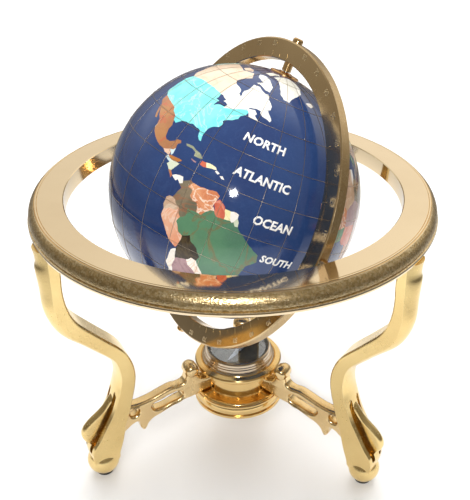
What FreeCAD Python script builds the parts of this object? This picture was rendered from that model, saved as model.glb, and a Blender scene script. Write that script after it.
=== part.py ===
import FreeCAD, Part
import math
import os

import Sketcher

from BOPTools import SplitAPI

App = FreeCAD
os.makedirs("parts", exist_ok=True)
doc = App.newDocument("DesktopGlobe")

# Desktop globe: a stone-inlaid ball in a swinging meridian ring, carried by a horizon ring on
# three claw-footed legs, with a compass drum held on three struts between the legs.
# +Z is up, the table is z = 0, the front of the piece looks along -Y. All sizes in mm.

# ---------------------------------------------------------------- sizes
SIZES = [
    ("globe_radius", 75.0, "stone ball, 150 mm across"),
    ("core_radius", 73.0, "cast ball under the stone layer"),
    ("globe_height", 186.8, "ball centre above the table"),
    ("ring_height", 192.4, "polished face of the horizon ring above the table"),
    ("ring_bore", 100.6, "horizon ring, inner radius"),
    ("ring_face", 115.3, "horizon ring, outer radius of the polished face"),
    ("ring_band", 121.2, "horizon ring, outer radius of the sanded band"),
    ("ring_lip", 121.9, "horizon ring, radius of the lower lip"),
    ("ring_depth", 11.7, "horizon ring, height of the casting"),
    ("meridian_outer", 93.3, "meridian ring, outer radius"),
    ("meridian_inner", 81.8, "meridian ring, inner radius"),
    ("meridian_width", 6.6, "meridian ring, thickness across the two faces"),
    ("pivot_turn", 33.0, "pivot line, degrees from the front towards the right"),
    ("axis_tilt", 25.9, "polar axis, degrees from vertical as it rests"),
    ("pin_radius", 1.8, "pivot pins between the two rings"),
    ("pole_pin_radius", 1.5, "polar pins"),
    ("pin_clearance", 0.05, "running fit, radial"),
    ("collar_radius", 3.2, "pivot collars in the gap between the rings"),
    ("leg_turn", 60.0, "front legs, degrees either side of the front"),
    ("leg_width", 18.0, "leg casting, across"),
    ("foot_radius", 103.0, "ball foot, distance from the centre line"),
    ("foot_ball", 10.6, "ball foot, radius"),
    ("pad_radius", 5.5, "foot pad, radius"),
    ("pad_depth", 1.4, "foot pad, height"),
    ("stud_radius", 2.0, "leg studs"),
    ("toe_width", 6.0, "middle toe of the claw, across"),
    ("flute_width", 3.4, "hollows beside the middle toe, across"),
    ("strut_width", 9.0, "strut casting, across"),
    ("knob_radius", 4.8, "curled end of the strut"),
    ("waist_radius", 22.8, "drum waist"),
    ("drum_radius", 31.2, "drum base"),
    ("drum_foot", 32.1, "underside of the drum above the table"),
    ("drum_join", 59.0, "top of the drum base, where the head sits"),
    ("flange_radius", 29.9, "drum head flange"),
    ("bowl_radius", 20.3, "compass bowl, outer radius"),
    ("glass_radius", 21.4, "compass glass, radius"),
    ("glass_height", 70.8, "underside of the compass glass"),
    ("glass_depth", 1.5, "compass glass"),
    ("needle_length", 30.0, "compass needle"),
    ("bolt_radius", 2.5, "drum tie bolt"),
]
sheet = doc.addObject("Spreadsheet::Sheet", "Sizes")
for row, (alias, value, note) in enumerate(SIZES, start=1):
    sheet.set("A%d" % row, alias)
    sheet.set("B%d" % row, str(value))
    sheet.set("C%d" % row, note)
    sheet.setAlias("B%d" % row, alias)
doc.recompute()


def size(alias):
    return float(getattr(sheet, alias))


def vec(x, y, z):
    return App.Vector(x, y, z)


# ---------------------------------------------------------------- sketch helpers
def value_of(term):
    """A coordinate is a number, or (alias, offset) measured from a named size."""
    if isinstance(term, tuple):
        return size(term[0]) + term[1]
    return float(term)


def new_body(name):
    return doc.addObject("PartDesign::Body", name)


def attach(sketch, body, role, offset=None):
    plane = [f for f in body.Origin.OriginFeatures if f.Role == role][0]
    sketch.AttachmentSupport = [(plane, "")]
    sketch.MapMode = "FlatFace"
    if offset is not None:
        sketch.AttachmentOffset = offset


def bind_point(sketch, index, term_x, term_y):
    """Ties the start of one edge to the sketch origin; named sizes stay linked to the sheet."""
    for kind, term, axis in (("DistanceX", term_x, -2), ("DistanceY", term_y, -1)):
        value = value_of(term)
        if abs(value) < 1e-9:
            sketch.addConstraint(Sketcher.Constraint("PointOnObject", index, 1, axis))
            continue
        number = sketch.addConstraint(Sketcher.Constraint(kind, -1, 1, index, 1, value))
        if isinstance(term, tuple):
            sketch.setExpression("Constraints[%d]" % number, "Sizes.%s + %.4f" % (term[0], term[1]))


def outline(body, name, role, points, offset=None, bind=True):
    """Closed outline; a third entry on a point bulges the edge that starts there."""
    sketch = body.newObject("Sketcher::SketchObject", name)
    attach(sketch, body, role, offset)
    add_loop(sketch, points, bind)
    return sketch


def add_loop(sketch, points, bind=True):
    corners = [(value_of(p[0]), value_of(p[1])) for p in points]
    first = sketch.GeometryCount
    for i, p in enumerate(points):
        ax, ay = corners[i]
        bx, by = corners[(i + 1) % len(corners)]
        start = vec(ax, ay, 0)
        end = vec(bx, by, 0)
        if len(p) > 2 and p[2]:
            side = vec(by - ay, ax - bx, 0).normalize() * p[2]
            middle = (start + end) * 0.5 + side
            sketch.addGeometry(Part.Arc(start, middle, end))
        else:
            sketch.addGeometry(Part.LineSegment(start, end))
    if bind:
        for i, p in enumerate(points):
            if len(p) > 2 and p[2]:
                continue
            bind_point(sketch, first + i, p[0], p[1])


def revolve(body, sketch, axis="V_Axis"):
    feature = body.newObject("PartDesign::Revolution", body.Name + "_turned")
    feature.Profile = sketch
    feature.ReferenceAxis = (sketch, [axis])
    feature.Angle = 360.0
    doc.recompute()
    return feature


def pad(body, sketch, alias=None, length=None, middle=False, name=None):
    feature = body.newObject("PartDesign::Pad", name or body.Name + "_pad")
    feature.Profile = sketch
    if middle:
        feature.SideType = "Symmetric"
    if alias:
        feature.setExpression("Length", "Sizes." + alias)
    else:
        feature.Length = length
    doc.recompute()
    return feature


def turned(name, points, bind=True):
    """A lathe-turned piece: outline in the XZ plane, spun about Z."""
    body = new_body(name)
    sketch = outline(body, name + "_outline", "XZ_Plane", points, bind=bind)
    revolve(body, sketch)
    return body


def solid_of(name, shape, placement=None):
    feature = doc.addObject("Part::Feature", name)
    feature.Shape = shape
    if placement is not None:
        feature.Placement = placement
    return feature


def group(name, shapes):
    """Identical small pieces carried as separate solids of one node."""
    return solid_of(name, Part.makeCompound(shapes))


def about_z(degrees):
    return App.Rotation(vec(0, 0, 1), degrees)


# Radial directions are given as degrees from the front (-Y) towards the right (+X).
LEG_TURNS = [size("leg_turn"), -size("leg_turn"), 180.0]
SIDES = ["right", "left", "back"]


def radial(turn):
    """Placement that takes +X to the given radial direction."""
    return App.Placement(vec(0, 0, 0), about_z(turn - 90.0))


swing = about_z(180.0 + size("pivot_turn")).multiply(
    App.Rotation(vec(0, 1, 0), -size("axis_tilt")))
BALL = App.Placement(vec(0, 0, size("globe_height")), swing)
PIVOT = App.Placement(vec(0, 0, size("globe_height")), about_z(size("pivot_turn") - 90.0))

# ---------------------------------------------------------------- horizon ring
top = "ring_height"
low = -size("ring_depth")
ring = new_body("horizon_ring")
ring_profile = outline(ring, "ring_profile", "XZ_Plane", [
    (("ring_bore", 0.0), (top, -0.5)),
    (("ring_bore", 0.5), (top, 0.0)),
    (("ring_face", 0.0), (top, 0.0)),
    (("ring_face", 0.25), (top, -0.55)),
    (("ring_face", 0.5), (top, -0.1)),
    (("ring_face", 1.2), (top, -0.1)),
    (("ring_face", 1.5), (top, -0.9)),
    (("ring_face", 1.9), (top, -0.45), -1.0),
    (("ring_band", 0.0), (top, -7.4)),
    (("ring_band", -0.7), (top, -7.9)),
    (("ring_band", -0.7), (top, -8.4)),
    (("ring_lip", -0.3), (top, -8.8)),
    (("ring_lip", 0.0), (top, -9.8)),
    (("ring_lip", -0.3), (top, low + 0.6)),
    (("ring_lip", -1.0), (top, low)),
    (("ring_bore", 5.0), (top, low)),
    (("ring_bore", 4.0), (top, low + 1.4)),
    (("ring_bore", 0.4), (top, low + 1.4)),
    (("ring_bore", 0.0), (top, low + 1.8)),
])
revolve(ring, ring_profile)

# blind bores for the pivot pins and for the leg studs
bores = []
for end in (0.0, 180.0):
    place = App.Placement(vec(0, 0, size("globe_height")), about_z(size("pivot_turn") - 90.0 + end))
    bore = Part.makeCylinder(size("pin_radius"), 10.0, vec(99.0, 0, 0), vec(1, 0, 0))
    bore.Placement = place
    bores.append(bore)
for turn in LEG_TURNS:
    bore = Part.makeCylinder(size("stud_radius"), 6.0, vec(116.5, 0, size(top) + low - 0.01))
    bore.Placement = radial(turn)
    bores.append(bore)
tool = solid_of("ring_bores", Part.makeCompound(bores))
ring_node = doc.addObject("Part::Cut", "horizon_ring_bored")
ring_node.Base = ring
ring_node.Tool = tool
doc.recompute()

# ---------------------------------------------------------------- legs
# One casting: stations down the leg, each (inner point, outer edge of the flat side, crown height)
# in the radial plane. The section is a D with its round side outwards.
STATIONS = [
    ((111.6, 180.7), (118.0, 180.7), 5.6),
    ((112.0, 170.0), (118.4, 169.8), 5.4),
    ((112.3, 160.0), (118.7, 159.6), 5.2),
    ((112.2, 147.0), (119.3, 145.4), 4.8),
    ((109.8, 136.0), (117.6, 132.4), 4.2),
    ((105.2, 128.0), (112.2, 121.8), 3.6),
    ((97.0, 118.6), (102.6, 112.2), 3.3),
    ((88.4, 109.2), (94.2, 103.2), 3.0),
    ((80.8, 99.4), (88.2, 95.2), 2.2),
    ((77.0, 88.6), (86.2, 87.6), 1.8),
    ((76.4, 79.6), (85.8, 80.2), 1.8),
    ((78.2, 69.0), (87.6, 71.4), 1.8),
    ((81.4, 57.0), (91.4, 60.2), 1.6),
    ((84.9, 45.6), (96.4, 49.6), 1.4),
    ((88.2, 34.0), (102.4, 39.2), 1.2),
    ((91.2, 23.6), (108.6, 30.0), 1.0),
    ((92.8, 16.4), (111.0, 20.0), 0.8),
    ((95.4, 9.6), (109.8, 11.0), 0.6),
]


def d_section(inner, outer, crown, half):
    """D-shaped wire standing across the leg, its inner corners eased."""
    a = vec(inner[0], 0, inner[1])
    b = vec(outer[0], 0, outer[1])
    out = (b - a).normalize()
    y = vec(0, 1, 0)
    ease = 1.6
    p1 = a + y * (half - ease)
    p2 = a + y * half + out * ease
    p3 = b + y * half
    p4 = b - y * half
    p5 = a - y * half + out * ease
    p6 = a - y * (half - ease)
    turn1 = a + y * (half - ease * 0.3) + out * ease * 0.3
    turn2 = a - y * (half - ease * 0.3) + out * ease * 0.3
    return Part.Wire([
        Part.makeLine(p6, p1),
        Part.Arc(p1, turn1, p2).toShape(),
        Part.makeLine(p2, p3),
        Part.Arc(p3, b + out * crown, p4).toShape(),
        Part.makeLine(p4, p5),
        Part.Arc(p5, turn2, p6).toShape(),
    ])


def plate(points, width, y=0.0):
    """Flat plate standing in the radial plane, smooth outline through the points."""
    curve = Part.BSplineCurve()
    curve.interpolate([vec(p[0], y - width / 2, p[1]) for p in points], PeriodicFlag=True)
    face = Part.Face(Part.Wire(curve.toShape()))
    return face.extrude(vec(0, width, 0))


TOE = [
    ((82.0, 70.0), (86.6, 71.6), 1.2),
    ((84.0, 59.0), (91.0, 62.4), 2.0),
    ((87.0, 49.0), (97.4, 54.0), 2.6),
    ((91.0, 41.0), (105.6, 47.4), 2.8),
    ((95.0, 33.6), (111.4, 40.4), 3.0),
    ((98.0, 27.4), (112.0, 34.0), 2.8),
    ((100.0, 22.6), (109.8, 28.8), 2.2),
    ((101.0, 20.0), (105.8, 24.6), 1.6),
]
FLUTE = [(89.2, 66.0), (90.2, 52.0), (95.0, 40.6), (101.5, 29.6), (107.5, 23.6), (112.5, 24.5),
         (120.0, 34.0), (118.0, 52.0), (104.0, 66.0), (94.0, 70.0)]


def leg_shape():
    half = size("leg_width") / 2
    taper = [0.0] * (len(STATIONS) - 2) + [0.6, 2.4]
    bar = Part.makeLoft([d_section(i, o, c, half - t) for (i, o, c), t in zip(STATIONS, taper)],
                        True, False, False, 3)
    ball = Part.makeSphere(size("foot_ball"), vec(size("foot_radius"), 0, size("foot_ball") + 0.6))
    body = bar.fuse(ball)
    width = size("flute_width")
    offset = size("toe_width") / 2 + width / 2
    for side in (-1, 1):
        hollow = plate(FLUTE, width, side * offset)
        edges = [e for e in hollow.Edges if e.Length > 60]
        hollow = hollow.makeFillet(width * 0.42, edges)
        body = body.cut(hollow)
    toe = Part.makeLoft([d_section(i, o, c, size("toe_width") / 2) for i, o, c in TOE], True, False)
    body = body.fuse(toe)
    seat = Part.makeCylinder(size("pad_radius"), size("pad_depth"), vec(size("foot_radius"), 0, 0))
    stud = Part.makeCylinder(size("stud_radius"), 10.0, vec(116.5, 0, 171.0))
    return body.cut(seat).cut(stud)


leg = leg_shape()
leg_nodes = {}
for side, turn in zip(SIDES, LEG_TURNS):
    leg_nodes[side] = solid_of("leg_" + side, leg, radial(turn))

pads = []
studs = []
for turn in LEG_TURNS:
    piece = Part.makeCylinder(size("pad_radius"), size("pad_depth"), vec(size("foot_radius"), 0, 0))
    piece.Placement = radial(turn)
    pads.append(piece)
    piece = Part.makeCylinder(size("stud_radius"), 15.0, vec(116.5, 0, 171.4))
    piece.Placement = radial(turn)
    studs.append(piece)
group("foot_pads", pads)
group("leg_studs", studs)

# ---------------------------------------------------------------- drum base
base = turned("drum_base", [
    (3.0, 53.0),
    (3.0, ("drum_join", 0.0)),
    (24.4, ("drum_join", 0.0)),
    (25.4, ("drum_join", -0.7)),
    (25.4, ("drum_join", -1.9)),
    (24.6, ("drum_join", -2.6)),
    (("waist_radius", 0.0), ("drum_join", -3.2)),
    (("waist_radius", 0.0), 46.0),
    (("waist_radius", 0.8), 45.4),
    (("drum_radius", -2.4), 44.5, -0.35),
    (("drum_radius", -0.7), 43.1),
    (("drum_radius", -0.8), 42.7),
    (("drum_radius", -0.1), 42.4),
    (("drum_radius", -0.1), 41.2),
    (("drum_radius", -0.6), 40.8, -0.7),
    (("drum_radius", -0.6), 35.0),
    (("drum_radius", -0.7), 34.6),
    (("drum_radius", 0.1), 34.3),
    (("drum_radius", 0.1), 32.6),
    (("drum_radius", -0.4), ("drum_foot", 0.0)),
    (26.0, ("drum_foot", 0.0)),
    (25.0, ("drum_foot", 1.5)),
    (18.0, ("drum_foot", 1.5)),
    (18.0, 53.0),
])

# ---------------------------------------------------------------- struts
BRANCH = [
    (20.0, 47.0), (24.5, 46.6), (30.0, 44.6), (38.0, 43.4), (46.0, 42.4), (53.0, 40.0),
    (60.0, 37.4), (66.5, 35.6), (70.0, 32.6), (72.8, 29.6), (75.0, 32.0), (75.8, 36.6),
    (79.4, 37.0), (84.6, 33.0), (92.0, 30.0), (92.0, 52.0), (83.0, 51.2),
    (75.0, 51.2), (67.0, 52.0), (59.0, 54.8), (51.5, 56.4), (44.5, 55.6), (41.0, 57.2),
    (39.0, 61.0), (33.6, 61.0), (31.6, 58.4), (26.5, 56.9), (20.0, 56.6),
]
SLOT = [(66.0, 47.4), (59.0, 49.6), (51.0, 51.8), (45.4, 51.6), (42.8, 48.6),
        (44.6, 45.4), (52.6, 43.8), (60.0, 42.2), (65.4, 43.6)]
EYE = [(75.4, 46.8), (80.4, 47.4), (82.4, 43.4), (78.0, 42.2)]


def strut_shape():
    """Branch-like casting with a long slot, a small eye by the leg and a curled knob on top."""
    width = size("strut_width")
    casting = new_body("strut_casting")
    pad(casting, outline(casting, "branch", "XZ_Plane", BRANCH, bind=False),
        alias="strut_width", middle=True)
    shape = casting.Shape.cut(plate(SLOT, width + 2)).cut(plate(EYE, width + 2))
    sides = [e for e in shape.Edges if abs(abs(e.CenterOfMass.y) - width / 2) < 1e-6]
    shape = shape.makeFillet(0.8, [e for e in sides if 26.0 < e.CenterOfMass.x < 82.0])
    knob = Part.makeCylinder(size("knob_radius"), width + 1, vec(36.2, -(width + 1) / 2, 65.6),
                             vec(0, 1, 0))
    knob = knob.makeFillet(2.0, [e for e in knob.Edges if e.Length > 20])
    waist = Part.makeCylinder(size("waist_radius"), 30.0, vec(0, 0, 35.0))
    hole = Part.makeCylinder(1.5, 12.0, vec(20.0, 0, 51.6), vec(1, 0, 0))
    shape = shape.fuse(knob).cut(waist).cut(base.Shape).cut(leg).cut(hole)
    return max(shape.Solids, key=lambda s: s.Volume)


strut = strut_shape()
for side, turn in zip(SIDES, LEG_TURNS):
    solid_of("strut_" + side, strut, radial(turn))

screws = []
holes = []
for turn in LEG_TURNS:
    shank = Part.makeCylinder(1.5, 14.0, vec(17.0, 0, 51.6), vec(1, 0, 0))
    seat = Part.makeCylinder(2.7, 3.0, vec(15.6, 0, 51.6), vec(1, 0, 0))
    hole = Part.makeCylinder(1.5, 14.0, vec(17.0, 0, 51.6), vec(1, 0, 0))
    piece = shank.fuse(Part.makeCylinder(2.6, 2.0, vec(16.6, 0, 51.6), vec(1, 0, 0)))
    piece.Placement = radial(turn)
    screws.append(piece)
    cut = seat.fuse(hole)
    cut.Placement = radial(turn)
    holes.append(cut)
group("strut_screws", screws)
tool = solid_of("drum_bores", Part.makeCompound(holes))
drum_node = doc.addObject("Part::Cut", "drum_base_bored")
drum_node.Base = base
drum_node.Tool = tool
doc.recompute()

# ---------------------------------------------------------------- drum head, compass
turned("drum_head", [
    (2.5, ("drum_join", 0.0)),
    (24.0, ("drum_join", 0.0)),
    (24.4, ("drum_join", 1.4)),
    (("flange_radius", -0.7), ("drum_join", 2.8)),
    (("flange_radius", 0.0), ("drum_join", 3.5)),
    (("flange_radius", 0.0), ("drum_join", 4.9)),
    (("flange_radius", -0.8), ("drum_join", 5.8)),
    (26.0, ("drum_join", 6.3)),
    (25.7, ("drum_join", 5.9)),
    (25.3, ("drum_join", 6.4)),
    (("bowl_radius", 0.2), ("drum_join", 6.4)),
    (("bowl_radius", 0.2), ("drum_join", 3.0)),
    (2.5, ("drum_join", 3.0)),
])
turned("bezel_ring", [
    (("bowl_radius", 0.1), 65.4),
    (25.2, 65.4),
    (24.7, 66.7),
    (24.2, 67.0),
    (24.0, 68.6),
    (23.4, 69.0),
    (23.2, 69.9),
    (22.7, 70.2),
    (22.4, 71.6),
    (21.9, 72.7),
    (21.2, 73.1),
    (20.8, 72.6),
    (20.8, ("glass_height", 1.5)),
    (("glass_radius", 0.0), ("glass_height", 1.5)),
    (("glass_radius", 0.0), ("glass_height", 0.0)),
    (("bowl_radius", 0.1), ("glass_height", 0.0)),
])
turned("compass_glass", [
    (0.0, ("glass_height", 0.0)),
    (("glass_radius", 0.0), ("glass_height", 0.0)),
    (("glass_radius", 0.0), ("glass_height", 1.5)),
    (0.0, ("glass_height", 1.5)),
])
turned("compass_bowl", [
    (0.0, 63.4),
    (0.0, 62.0),
    (("bowl_radius", 0.0), 62.0),
    (("bowl_radius", 0.0), ("glass_height", 0.0)),
    (("bowl_radius", -1.2), ("glass_height", 0.0)),
    (("bowl_radius", -1.2), 63.4),
])
turned("compass_card", [
    (0.8, 63.4),
    (("bowl_radius", -1.4), 63.4),
    (("bowl_radius", -1.4), 63.9),
    (0.8, 63.9),
])
turned("compass_post", [
    (0.0, 63.4),
    (0.8, 63.4),
    (0.8, 66.0),
    (0.15, 67.4),
    (0.0, 67.4),
])
needle = new_body("compass_needle")
length = size("needle_length")
blade = outline(needle, "needle_outline", "XY_Plane", [
    (length / 2, 0.0), (0.0, 2.1), (-length / 2, 0.0), (0.0, -2.1),
], offset=App.Placement(vec(0, 0, 67.0), App.Rotation()), bind=False)
pad(needle, blade, length=0.5)
hub = Part.makeCylinder(2.0, 1.6, vec(0, 0, 66.6))
cup = Part.makeCone(1.1, 0.2, 1.2, vec(0, 0, 66.6))
needle_node = solid_of("needle_with_hub", needle.Shape.fuse(hub).cut(cup))
needle_node.Placement = App.Placement(vec(0, 0, 0), about_z(62.0))

# tie bolt from below, with its washer
washer = Part.makeCylinder(6.0, 1.0, vec(0, 0, 52.0)).cut(Part.makeCylinder(2.6, 1.0, vec(0, 0, 52.0)))
solid_of("tie_washer", washer)
head = Part.Face(Part.makePolygon(
    [vec(4.6 * math.cos(math.radians(a)), 4.6 * math.sin(math.radians(a)), 48.5)
     for a in range(0, 361, 60)])).extrude(vec(0, 0, 3.5))
bolt = head.fuse(Part.makeCylinder(size("bolt_radius"), 10.0, vec(0, 0, 52.0)))
solid_of("tie_bolt", bolt)

# ---------------------------------------------------------------- meridian ring
# Local frame of the ball: +Z runs up the polar axis, +Y out along the front pivot,
# +X square to the meridian ring.
half_m = size("meridian_width") / 2
meridian = new_body("meridian_ring")
section = outline(meridian, "meridian_section", "XY_Plane", [
    (-half_m, ("meridian_inner", 0.35)),
    (-half_m + 0.35, ("meridian_inner", 0.0)),
    (half_m - 0.35, ("meridian_inner", 0.0)),
    (half_m, ("meridian_inner", 0.35)),
    (half_m, ("meridian_outer", -0.8)),
    (half_m - 0.6, ("meridian_outer", 0.0)),
    (-half_m + 0.6, ("meridian_outer", 0.0)),
    (-half_m, ("meridian_outer", -0.8)),
])
revolve(meridian, section, axis="H_Axis")
run = size("pin_clearance")
tools = []
for y in (1, -1):
    tools.append(Part.makeCylinder(size("pin_radius") + run, 16.0, vec(0, y * 80, 0), vec(0, y, 0)))
    tools.append(Part.makeCylinder(size("pole_pin_radius"), 16.0, vec(0, 0, y * 80), vec(0, 0, y)))
tool = solid_of("meridian_bores", Part.makeCompound(tools))
meridian_node = doc.addObject("Part::Cut", "meridian_ring_bored")
meridian_node.Base = meridian
meridian_node.Tool = tool
meridian_node.Placement = BALL
doc.recompute()

pins = []
collars = []
for y in (1, -1):
    piece = Part.makeCylinder(size("pin_radius"), 25.6, vec(0, y * 82.4, 0), vec(0, y, 0))
    piece.Placement = BALL
    pins.append(piece)
    outer = Part.makeCylinder(size("collar_radius"), 6.74, vec(0, y * 93.8, 0), vec(0, y, 0))
    inner = Part.makeCylinder(size("pin_radius"), 6.74, vec(0, y * 93.8, 0), vec(0, y, 0))
    piece = outer.cut(inner)
    piece.Placement = BALL
    collars.append(piece)
group("pivot_pins", pins)
group("pivot_collars", collars)

# ---------------------------------------------------------------- polar pins, nuts, spacers
pole_pins = []
nuts = []
spacers = []
bushes = []
for z in (1, -1):
    up = vec(0, 0, z)
    r = size("pole_pin_radius")
    piece = Part.makeCylinder(r, 30.0, vec(0, 0, z * 64.5), up)
    pole_pins.append(piece)
    nut = Part.makeCylinder(3.0, 2.6, vec(0, 0, z * (size("meridian_outer") + 0.02)), up)
    dome = [e for e in nut.Edges if abs(abs(e.CenterOfMass.z) - size("meridian_outer") - 2.62) < 0.01]
    nut = nut.makeFillet(1.4, dome)
    nut = nut.cut(Part.makeCylinder(r, 1.2, vec(0, 0, z * size("meridian_outer")), up))
    nuts.append(nut)
    tube = Part.makeCylinder(2.7, 4.75, vec(0, 0, z * 77.0), up)
    spacers.append(tube.cut(Part.makeCylinder(r, 4.75, vec(0, 0, z * 77.0), up)))
    tube = Part.makeCylinder(2.6, 10.5, vec(0, 0, z * 63.5), up)
    bushes.append(tube.cut(Part.makeCylinder(r + run, 10.5, vec(0, 0, z * 63.5), up)))
for name, pieces in (("polar_pins", pole_pins), ("polar_nuts", nuts),
                     ("polar_spacers", spacers), ("globe_bushes", bushes)):
    for piece in pieces:
        piece.Placement = BALL
    group(name, pieces)

# ---------------------------------------------------------------- globe
core = Part.makeSphere(size("core_radius"))
for z in (1, -1):
    core = core.cut(Part.makeCylinder(2.6, 14.0, vec(0, 0, z * 63.5), vec(0, 0, z)))
core_node = solid_of("globe_core", core, BALL)

for name, z in (("cap_north", 1), ("cap_south", -1)):
    body = new_body(name)
    rim = 8.6
    inside = math.sqrt(size("globe_radius") ** 2 - rim ** 2)
    hole = 1.9
    bore = math.sqrt(size("globe_radius") ** 2 - hole ** 2)
    bulge = size("globe_radius") - math.sqrt(
        size("globe_radius") ** 2 - ((rim - hole) ** 2 + (bore - inside) ** 2) / 4)
    sketch = outline(body, name + "_outline", "XZ_Plane", [
        (hole, 76.6),
        (hole, bore, -bulge),
        (rim, inside),
        (rim, inside + 0.7),
        (rim - 0.5, inside + 1.2),
        (4.0, 76.3),
        (3.6, 76.6),
    ], bind=False)
    revolve(body, sketch)
    turn = App.Rotation(vec(1, 0, 0), 0 if z > 0 else 180)
    body.Placement = App.Placement(vec(0, 0, size("globe_height")), swing.multiply(turn))

# Land outlines as (longitude, latitude), joined by great circles.
MERIDIAN_LONGITUDE = -109.2
LAND = {
    "north_america": [
        (-166, 66), (-156, 71), (-128, 70), (-110, 68), (-94, 72), (-86, 66), (-94, 59), (-82, 55),
        (-79, 62), (-66, 58), (-56, 52), (-66, 45), (-75, 37), (-81, 31), (-80, 25.5), (-84, 30),
        (-97, 27), (-96, 19), (-87, 21), (-88, 16), (-83, 14), (-79, 9), (-84, 9.5), (-95, 16),
        (-105, 20), (-113, 30), (-121, 35), (-124, 46), (-136, 59), (-152, 59), (-163, 57)],
    "south_america": [
        (-77, 8), (-71, 12), (-62, 10.5), (-51, 4), (-43, -2.5), (-35, -6), (-39, -14), (-41, -22),
        (-48, -26), (-55, -35), (-65, -42), (-68, -54), (-75, -50), (-73, -38), (-70, -19),
        (-76, -14), (-81, -5), (-80, 1)],
    "greenland": [
        (-44, 60), (-52, 64), (-55, 70), (-68, 76), (-55, 81.5), (-30, 83), (-18, 78), (-24, 70),
        (-38, 65)],
    "africa": [
        (-6, 35.5), (10, 37), (20, 31.5), (32, 31), (43, 12), (51, 11.5), (40, -4), (40, -16),
        (33, -27), (26, -34), (18.5, -34), (12, -17), (13, -5), (9, 4), (-8, 4.5), (-17, 14),
        (-13, 27)],
    "eurasia": [
        (-9, 38), (-1, 44), (2, 51), (9, 56), (14, 54.5), (28, 59.5), (18, 62), (24, 66), (13, 59),
        (5, 60), (15, 68), (28, 71), (42, 66.5), (68, 69), (80, 73), (104, 77.5), (130, 72),
        (160, 70), (178, 68), (172, 61), (160, 53), (142, 53), (128, 39), (121, 38), (122, 30),
        (108, 19), (104, 10), (103, 2), (98, 9), (91, 22), (80, 13), (77, 8), (72, 20), (60, 25),
        (56, 24), (53, 16.5), (44, 13), (35, 30), (35, 36.5), (27, 37), (23, 38), (13, 45),
        (15, 38.5), (4, 43.5), (-1, 37.5)],
    "australia": [
        (114, -22), (122, -17), (131, -12), (137, -16), (142, -11), (146, -19), (153, -27),
        (150, -37), (140, -38), (131, -32), (116, -35)],
}


def earth_point(lon, lat, radius):
    turn = math.radians(lon - MERIDIAN_LONGITUDE)
    up = math.radians(lat)
    return vec(radius * math.cos(up) * math.cos(turn), radius * math.cos(up) * math.sin(turn),
               radius * math.sin(up))


layer = Part.makeSphere(size("globe_radius")).cut(Part.makeSphere(size("core_radius")))
layer = layer.cut(Part.makeCylinder(2.6, 160.0, vec(0, 0, -80)))
fans = []
for name, points in LAND.items():
    rays = [earth_point(lon, lat, 80.0) for lon, lat in points]
    faces = []
    for a, b in zip(rays, rays[1:] + rays[:1]):
        low_a = a * 0.85
        low_b = b * 0.85
        faces.append(Part.Face(Part.makePolygon([low_a, a, b, low_b, low_a])))
    fans.append(Part.Shell(faces))
pieces = SplitAPI.slice(layer, fans, "Split").Solids
pieces.sort(key=lambda s: s.Volume)
solid_of("ocean_layer", pieces[-1], BALL)
INSIDE = {"north_america": (-100, 45), "south_america": (-58, -12), "greenland": (-42, 72),
          "africa": (20, 10), "eurasia": (90, 50), "australia": (134, -25)}
for name, (lon, lat) in INSIDE.items():
    probe = earth_point(lon, lat, 74.0)
    land = [s for s in pieces[:-1] if s.isInside(probe, 1e-3, True)][0]
    solid_of("land_" + name, land, BALL)
doc.recompute()

# ---------------------------------------------------------------- write the nodes
NODES = {
    "horizon_ring": "horizon_ring_bored",
    "drum_base": "drum_base_bored",
    "meridian_ring": "meridian_ring_bored",
    "compass_needle": "needle_with_hub",
}
for name in ("leg_right", "leg_left", "leg_back", "foot_pads", "leg_studs", "strut_right",
             "strut_left", "strut_back", "strut_screws", "drum_head", "bezel_ring",
             "compass_glass", "compass_bowl", "compass_card", "compass_post", "tie_washer",
             "tie_bolt", "pivot_pins", "pivot_collars", "polar_pins", "polar_nuts",
             "polar_spacers", "globe_bushes", "globe_core", "cap_north", "cap_south",
             "ocean_layer", "land_north_america", "land_south_america", "land_greenland",
             "land_africa", "land_eurasia", "land_australia"):
    NODES[name] = name
for obj in doc.Objects:
    for word in ("Invalid", "Error"):
        if word in obj.State:
            raise RuntimeError("%s is in state %s" % (obj.Name, obj.State))
for name, source in NODES.items():
    shape = doc.getObject(source).Shape
    if shape.isNull() or not shape.isValid():
        raise RuntimeError("bad shape: " + name)
    shape.exportStep("parts/%s.step" % name)
    box = shape.BoundBox
    print("%-20s solids %d  vol %9.1f  z %7.2f..%7.2f" % (
        name, len(shape.Solids), shape.Volume, box.ZMin, box.ZMax))
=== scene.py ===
"""Desktop globe: an inlaid stone ball in a swinging ring, in a flat horizon ring on three cast legs."""
import math

import bmesh
import bpy
from mathutils import Matrix, Vector, geometry, noise


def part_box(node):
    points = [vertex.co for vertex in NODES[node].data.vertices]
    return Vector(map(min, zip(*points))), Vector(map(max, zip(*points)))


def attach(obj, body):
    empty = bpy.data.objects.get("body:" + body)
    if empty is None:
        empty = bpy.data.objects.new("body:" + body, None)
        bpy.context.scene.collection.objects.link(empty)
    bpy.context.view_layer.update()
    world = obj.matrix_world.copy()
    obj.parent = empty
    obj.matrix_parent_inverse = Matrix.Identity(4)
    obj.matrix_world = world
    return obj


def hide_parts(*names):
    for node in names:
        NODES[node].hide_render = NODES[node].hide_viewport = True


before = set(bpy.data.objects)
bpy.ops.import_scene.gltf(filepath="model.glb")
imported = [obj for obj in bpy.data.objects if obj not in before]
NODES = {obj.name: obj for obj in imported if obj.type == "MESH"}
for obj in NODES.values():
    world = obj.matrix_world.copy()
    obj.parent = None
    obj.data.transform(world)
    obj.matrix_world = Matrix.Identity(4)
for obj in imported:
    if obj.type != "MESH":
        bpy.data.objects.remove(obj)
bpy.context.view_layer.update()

# ------------------------------------------------------------------ sizes, in metres
MM = 0.001
BALL_RADIUS = 75.0 * MM
CORE_RADIUS = 73.0 * MM
STONE_BED = 74.3 * MM
STONE_TOP = 75.05 * MM
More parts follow.
